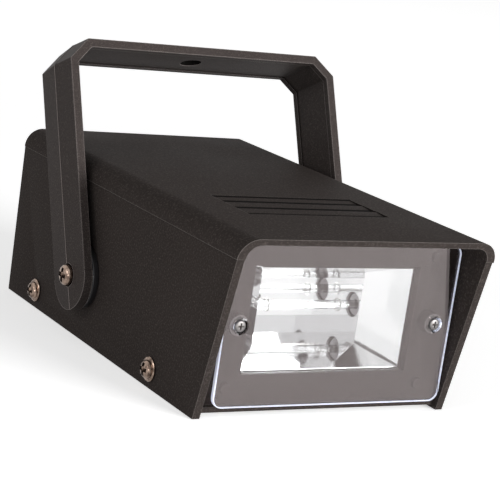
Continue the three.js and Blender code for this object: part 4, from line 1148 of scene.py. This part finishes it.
@dataclass
class Screw:
    """A cross-recess screw with a domed head."""

    finish: Finish
    height: float
    head_rings: Rings
    shank_radius: float
    shank_length: float
    recess_reach: float
    recess_width: float
    recess_depth: float
    recess_taper: tuple[float, float] = (0.5, 0.6)
    recess_margin: float = 0.05 * MM
    recess_floor: tuple[float, float] = (0.8, 1.1)
    recess_slant: float = 0.6
    tip_radius: float = 0.6
    tip_length: float = 0.5
    sides: int = 40

    @property
    def crown(self) -> float:
        """The height of the last ring of the head."""
        return self.head_rings[-1][1]

    def place(self, node: str, name: str, facing: Facing) -> None:
        """Builds and dresses the screw, with its head at the end of a node's box.

        Args:
            node: The node that it stands for.
            name: The new piece's name.
            facing: Where its head points.
        """
        piece = self.build(name)
        turn, way = facing.value
        low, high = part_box(node)
        seat = [
            (least + most) / 2 + share * ((most - least) / 2 - self.height)
            for least, most, share in zip(low, high, way)
        ]
        settle(piece, turn, seat)
        dress(piece, self.finish, Body.HOUSING, node)

    def build(self, name: str) -> Piece:
        """Builds the screw along Z with its seat at the origin.

        Args:
            name: The screw's name.

        Returns:
            The screw.
        """
        radius = self.shank_radius
        rings = (
            (self.tip_radius * radius, -self.shank_length),
            (radius, -self.shank_length + self.tip_length * radius),
            (radius, 0.0),
            *self.head_rings,
        )
        screw = turned(name, rings, self.sides)
        combine(screw, self.cross(), "DIFFERENCE")
        smooth(screw)
        # Paints shade on the walls and floor of the cross recess.
        give(screw, self.finish, RECESS_SHADE)
        number_faces(screw, 1, self.in_recess)
        return screw

    def in_recess(self, face: Polygon) -> bool:
        """Says whether a face is a wall or the floor of the recess.

        Args:
            face: The face, on the screw along Z.

        Returns:
            True if it is inside the recess.
        """
        least, most = self.recess_floor
        depth = (self.crown - face.center.z) / self.recess_depth
        away = math.hypot(face.center.x, face.center.y)
        inside = away < self.recess_reach + self.recess_margin and depth < most
        return inside and (depth > least or abs(face.normal.z) < self.recess_slant)

    def cross(self) -> Piece:
        """Builds the tapered cross that cuts the recess.

        Returns:
            The cutter.
        """
        deselect()
        arms = []
        for turn in (0.0, 90.0):
            bpy.ops.mesh.primitive_cube_add(size=1.0)
            arm = bpy.context.object
            bpy.ops.object.mode_set(mode="EDIT")
            size = (2 * self.recess_reach, self.recess_width, self.recess_depth)
            bpy.ops.transform.resize(value=size, center_override=(0.0, 0.0, 0.0))
            select_parts(arm, "FACE", lambda face: face.normal.z < -LOOKS_ALONG)
            drop = {"value": (0.0, 0.0, -self.recess_depth / 2)}
            bpy.ops.mesh.extrude_region_move(TRANSFORM_OT_translate=drop)
            low = (0.0, 0.0, -self.recess_depth)
            bpy.ops.transform.resize(value=(*self.recess_taper, 1.0), center_override=low)
            close()
            settle(arm, (0.0, 0.0, turn), (0.0, 0.0, self.crown))
            arms.append(arm)
        combine(*arms, "UNION")
        return arms[0]


def dome(radius: float, low: float, top: float, end: float, fullness: float) -> Rings:
    """Radius and height of the rings of a dome.

    Args:
        radius: The radius of its foot.
        low: The height of its foot.
        top: The height of its crown.
        end: How far round towards the crown the last ring lies, in degrees.
        fullness: The power of the cosine, which is less for a fuller dome.

    Returns:
        The rings from the foot up.
    """
    steps = 7
    angles = [math.radians(end * step / (steps - 1)) for step in range(steps)]
    rise = top - low
    return tuple((radius * math.cos(a) ** fullness, low + rise * math.sin(a)) for a in angles)


@dataclass
class Fasteners:
    """The screws that show: washer heads, pivot screws and the plate's screws."""

    flange: float = 4.45 * MM
    flange_bevel: float = 0.15 * MM
    flange_wall: float = 0.5 * MM
    flange_top: float = 0.75 * MM
    flange_inset: float = 0.25 * MM
    dome_foot: float = 0.9 * MM
    dome_fillet: float = 0.1 * MM
    dome_radius: float = 3.35 * MM
    dome_top: float = 2.8 * MM
    pivot_head: float = 3.95 * MM
    pivot_top: float = 3.1 * MM
    plate_head: float = 2.15 * MM
    plate_top: float = 1.2 * MM
    washer_dome: tuple[float, float] = (82.0, 0.55)
    pan_seat: tuple[float, float] = (0.95, 0.05)
    pan_wall: float = 0.4
    pan_dome: tuple[float, float] = (84.0, 0.45)

    def build(self) -> None:
        """Builds and dresses all the screws that show."""
        washer = Screw(
            WARM_NICKEL, self.dome_top, self.washer_rings(),
            shank_radius=1.75 * MM, shank_length=9.0 * MM,
            recess_reach=2.3 * MM, recess_width=1.5 * MM, recess_depth=1.8 * MM,
        )
        pan = Screw(
            WARM_NICKEL, self.pivot_top, self.pan_rings(self.pivot_head, self.pivot_top),
            shank_radius=2.0 * MM, shank_length=16.0 * MM,
            recess_reach=2.7 * MM, recess_width=1.7 * MM, recess_depth=2.0 * MM,
        )
        small = Screw(
            GREY_STEEL, self.plate_top, self.pan_rings(self.plate_head, self.plate_top),
            shank_radius=1.1 * MM, shank_length=6.0 * MM,
            recess_reach=1.2 * MM, recess_width=0.5 * MM, recess_depth=0.8 * MM,
        )
        for screw, stem, name in (
            (washer, "side_screw_rear", "side_screw_rear_head"),
            (washer, "side_screw_front", "side_screw_front_head"),
            (pan, "pivot_screw", "pivot_screw_head"),
            (small, "plate_screw", "plate_fixing"),
        ):
            for side in Side:
                facing = Facing.FRONT if screw is small else Facing[side.name]
                screw.place(f"{stem}_{side.word}", f"{name}_{side.word}", facing)

    def washer_rings(self) -> Rings:
        """Radius and height of a washer head's rings.

        Returns:
            The rings from the seat up.
        """
        return (
            (self.flange - self.flange_bevel, 0.0),
            (self.flange, self.flange_bevel),
            (self.flange, self.flange_wall),
            (self.flange - self.flange_inset, self.flange_top),
            (self.dome_radius + self.dome_fillet, self.dome_foot),
            *dome(self.dome_radius, self.dome_foot, self.dome_top, *self.washer_dome),
        )

    def pan_rings(self, radius: float, top: float) -> Rings:
        """Radius and height of a pan head's rings.

        Args:
            radius: The head's radius.
            top: The head's height.

        Returns:
            The rings from the seat up.
        """
        inset, chamfer = self.pan_seat
        seat = ((inset * radius, 0.0), (radius, chamfer * top))
        return (*seat, *dome(radius, self.pan_wall * top, top, *self.pan_dome))


@dataclass
class SoftParts:
    """Small parts with rounded edges: node, name, finish and body of each."""

    rows: tuple[tuple[str, str, Finish, Body], ...]
    limit: float = 30.0
    edge_radius: float = 0.25 * MM

    def build(self) -> None:
        """Builds and dresses the parts."""
        for node, name, finish, body in self.rows:
            piece = merged_copy(node, name)
            rounded(piece, self.edge_radius, limit=self.limit)
            smooth(piece)
            dress(piece, finish, body, node)


PIVOT_DISCS = SoftParts(
    (
        ("spacer_disc_left", "friction_disc_left", BLACK_NYLON, Body.HOUSING),
        ("spacer_disc_right", "friction_disc_right", BLACK_NYLON, Body.HOUSING),
    )
)
REAR_PARTS = SoftParts(
    (
        ("speed_knob", "speed_knob_grip", BLACK_NYLON, Body.KNOB),
        ("cable_gland", "cable_gland_body", BLACK_NYLON, Body.HOUSING),
        ("speed_control_nut", "control_nut", SILVER_STEEL, Body.HOUSING),
    ),
    limit=35.0,
)


@dataclass
class Optics:
    """The clear plate, the bright trough, the tube and what is round it."""

    plate_chamfer: float = 0.35 * MM
    plate_limit: float = 40.0
    plate_border: float = 4.0 * MM
    plate_facing: float = 0.95
    trough_angle: float = 20.0

    def build(self) -> None:
        """Builds and dresses the optics."""
        self.plate()
        self.trough()
        dress_node("flash_tube", TUBE_GLASS)
        dress_node("trigger_wire", SILVER_STEEL)
        for side in Side:
            dress_node(f"electrode_{side.word}", SILVER_STEEL)
            dress_node(f"tube_holder_{side.word}", PALE_SLEEVE)

    def plate(self) -> None:
        """Builds the clear plate with its chamfered cut edges, painted pale and glowing to stand in
        for light piped along the plate.
        """
        piece = merged_copy("clear_plate", "front_plate")
        rounded(piece, self.plate_chamfer, segments=1, limit=self.plate_limit)
        smooth(piece)
        give(piece, PLATE_CLEAR, PLATE_EDGE_GLOW)
        low, high = map(Vector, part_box("clear_plate"))

        def is_cut_edge(face: Polygon) -> bool:
            """Says whether a face belongs to the plate's cut edge."""
            gaps = (*(face.center - low).xz, *(high - face.center).xz)
            return abs(face.normal.y) <= self.plate_facing and min(gaps) < self.plate_border

        number_faces(piece, 1, is_cut_edge)
        dress(piece, PLATE_CLEAR, Body.HOUSING, "clear_plate")

    def trough(self) -> None:
        """Builds the bright trough."""
        piece = merged_copy("reflector", "bright_trough")
        smooth(piece, self.trough_angle)
        dress(piece, CHROME, Body.HOUSING, "reflector")


class InnerWorks:
    """Everything inside the housing that keeps its node."""

    def build(self) -> None:
        """Gives each node the finish of its slot. The nodes that are dressed later lose it."""
        slots = {part["node"]: part["material_slot"] for part in frame["record"]["subparts"]}
        for node in frame["nodes"]:
            finish = SLOT_FINISHES.get(slots.get(node, ""))
            if finish:
                dress_node(node, finish)


def main() -> None:
    """Builds the studio and every sub-assembly in order."""
    logging.basicConfig(level=logging.INFO, format="%(name)s: %(message)s")
    for assembly in (
        InnerWorks(), Studio(), Housing(), Yoke(),
        PIVOT_DISCS, Fasteners(), Optics(), REAR_PARTS,
    ):
        assembly.build()
    deselect()


if __name__ == "__main__":
    main()
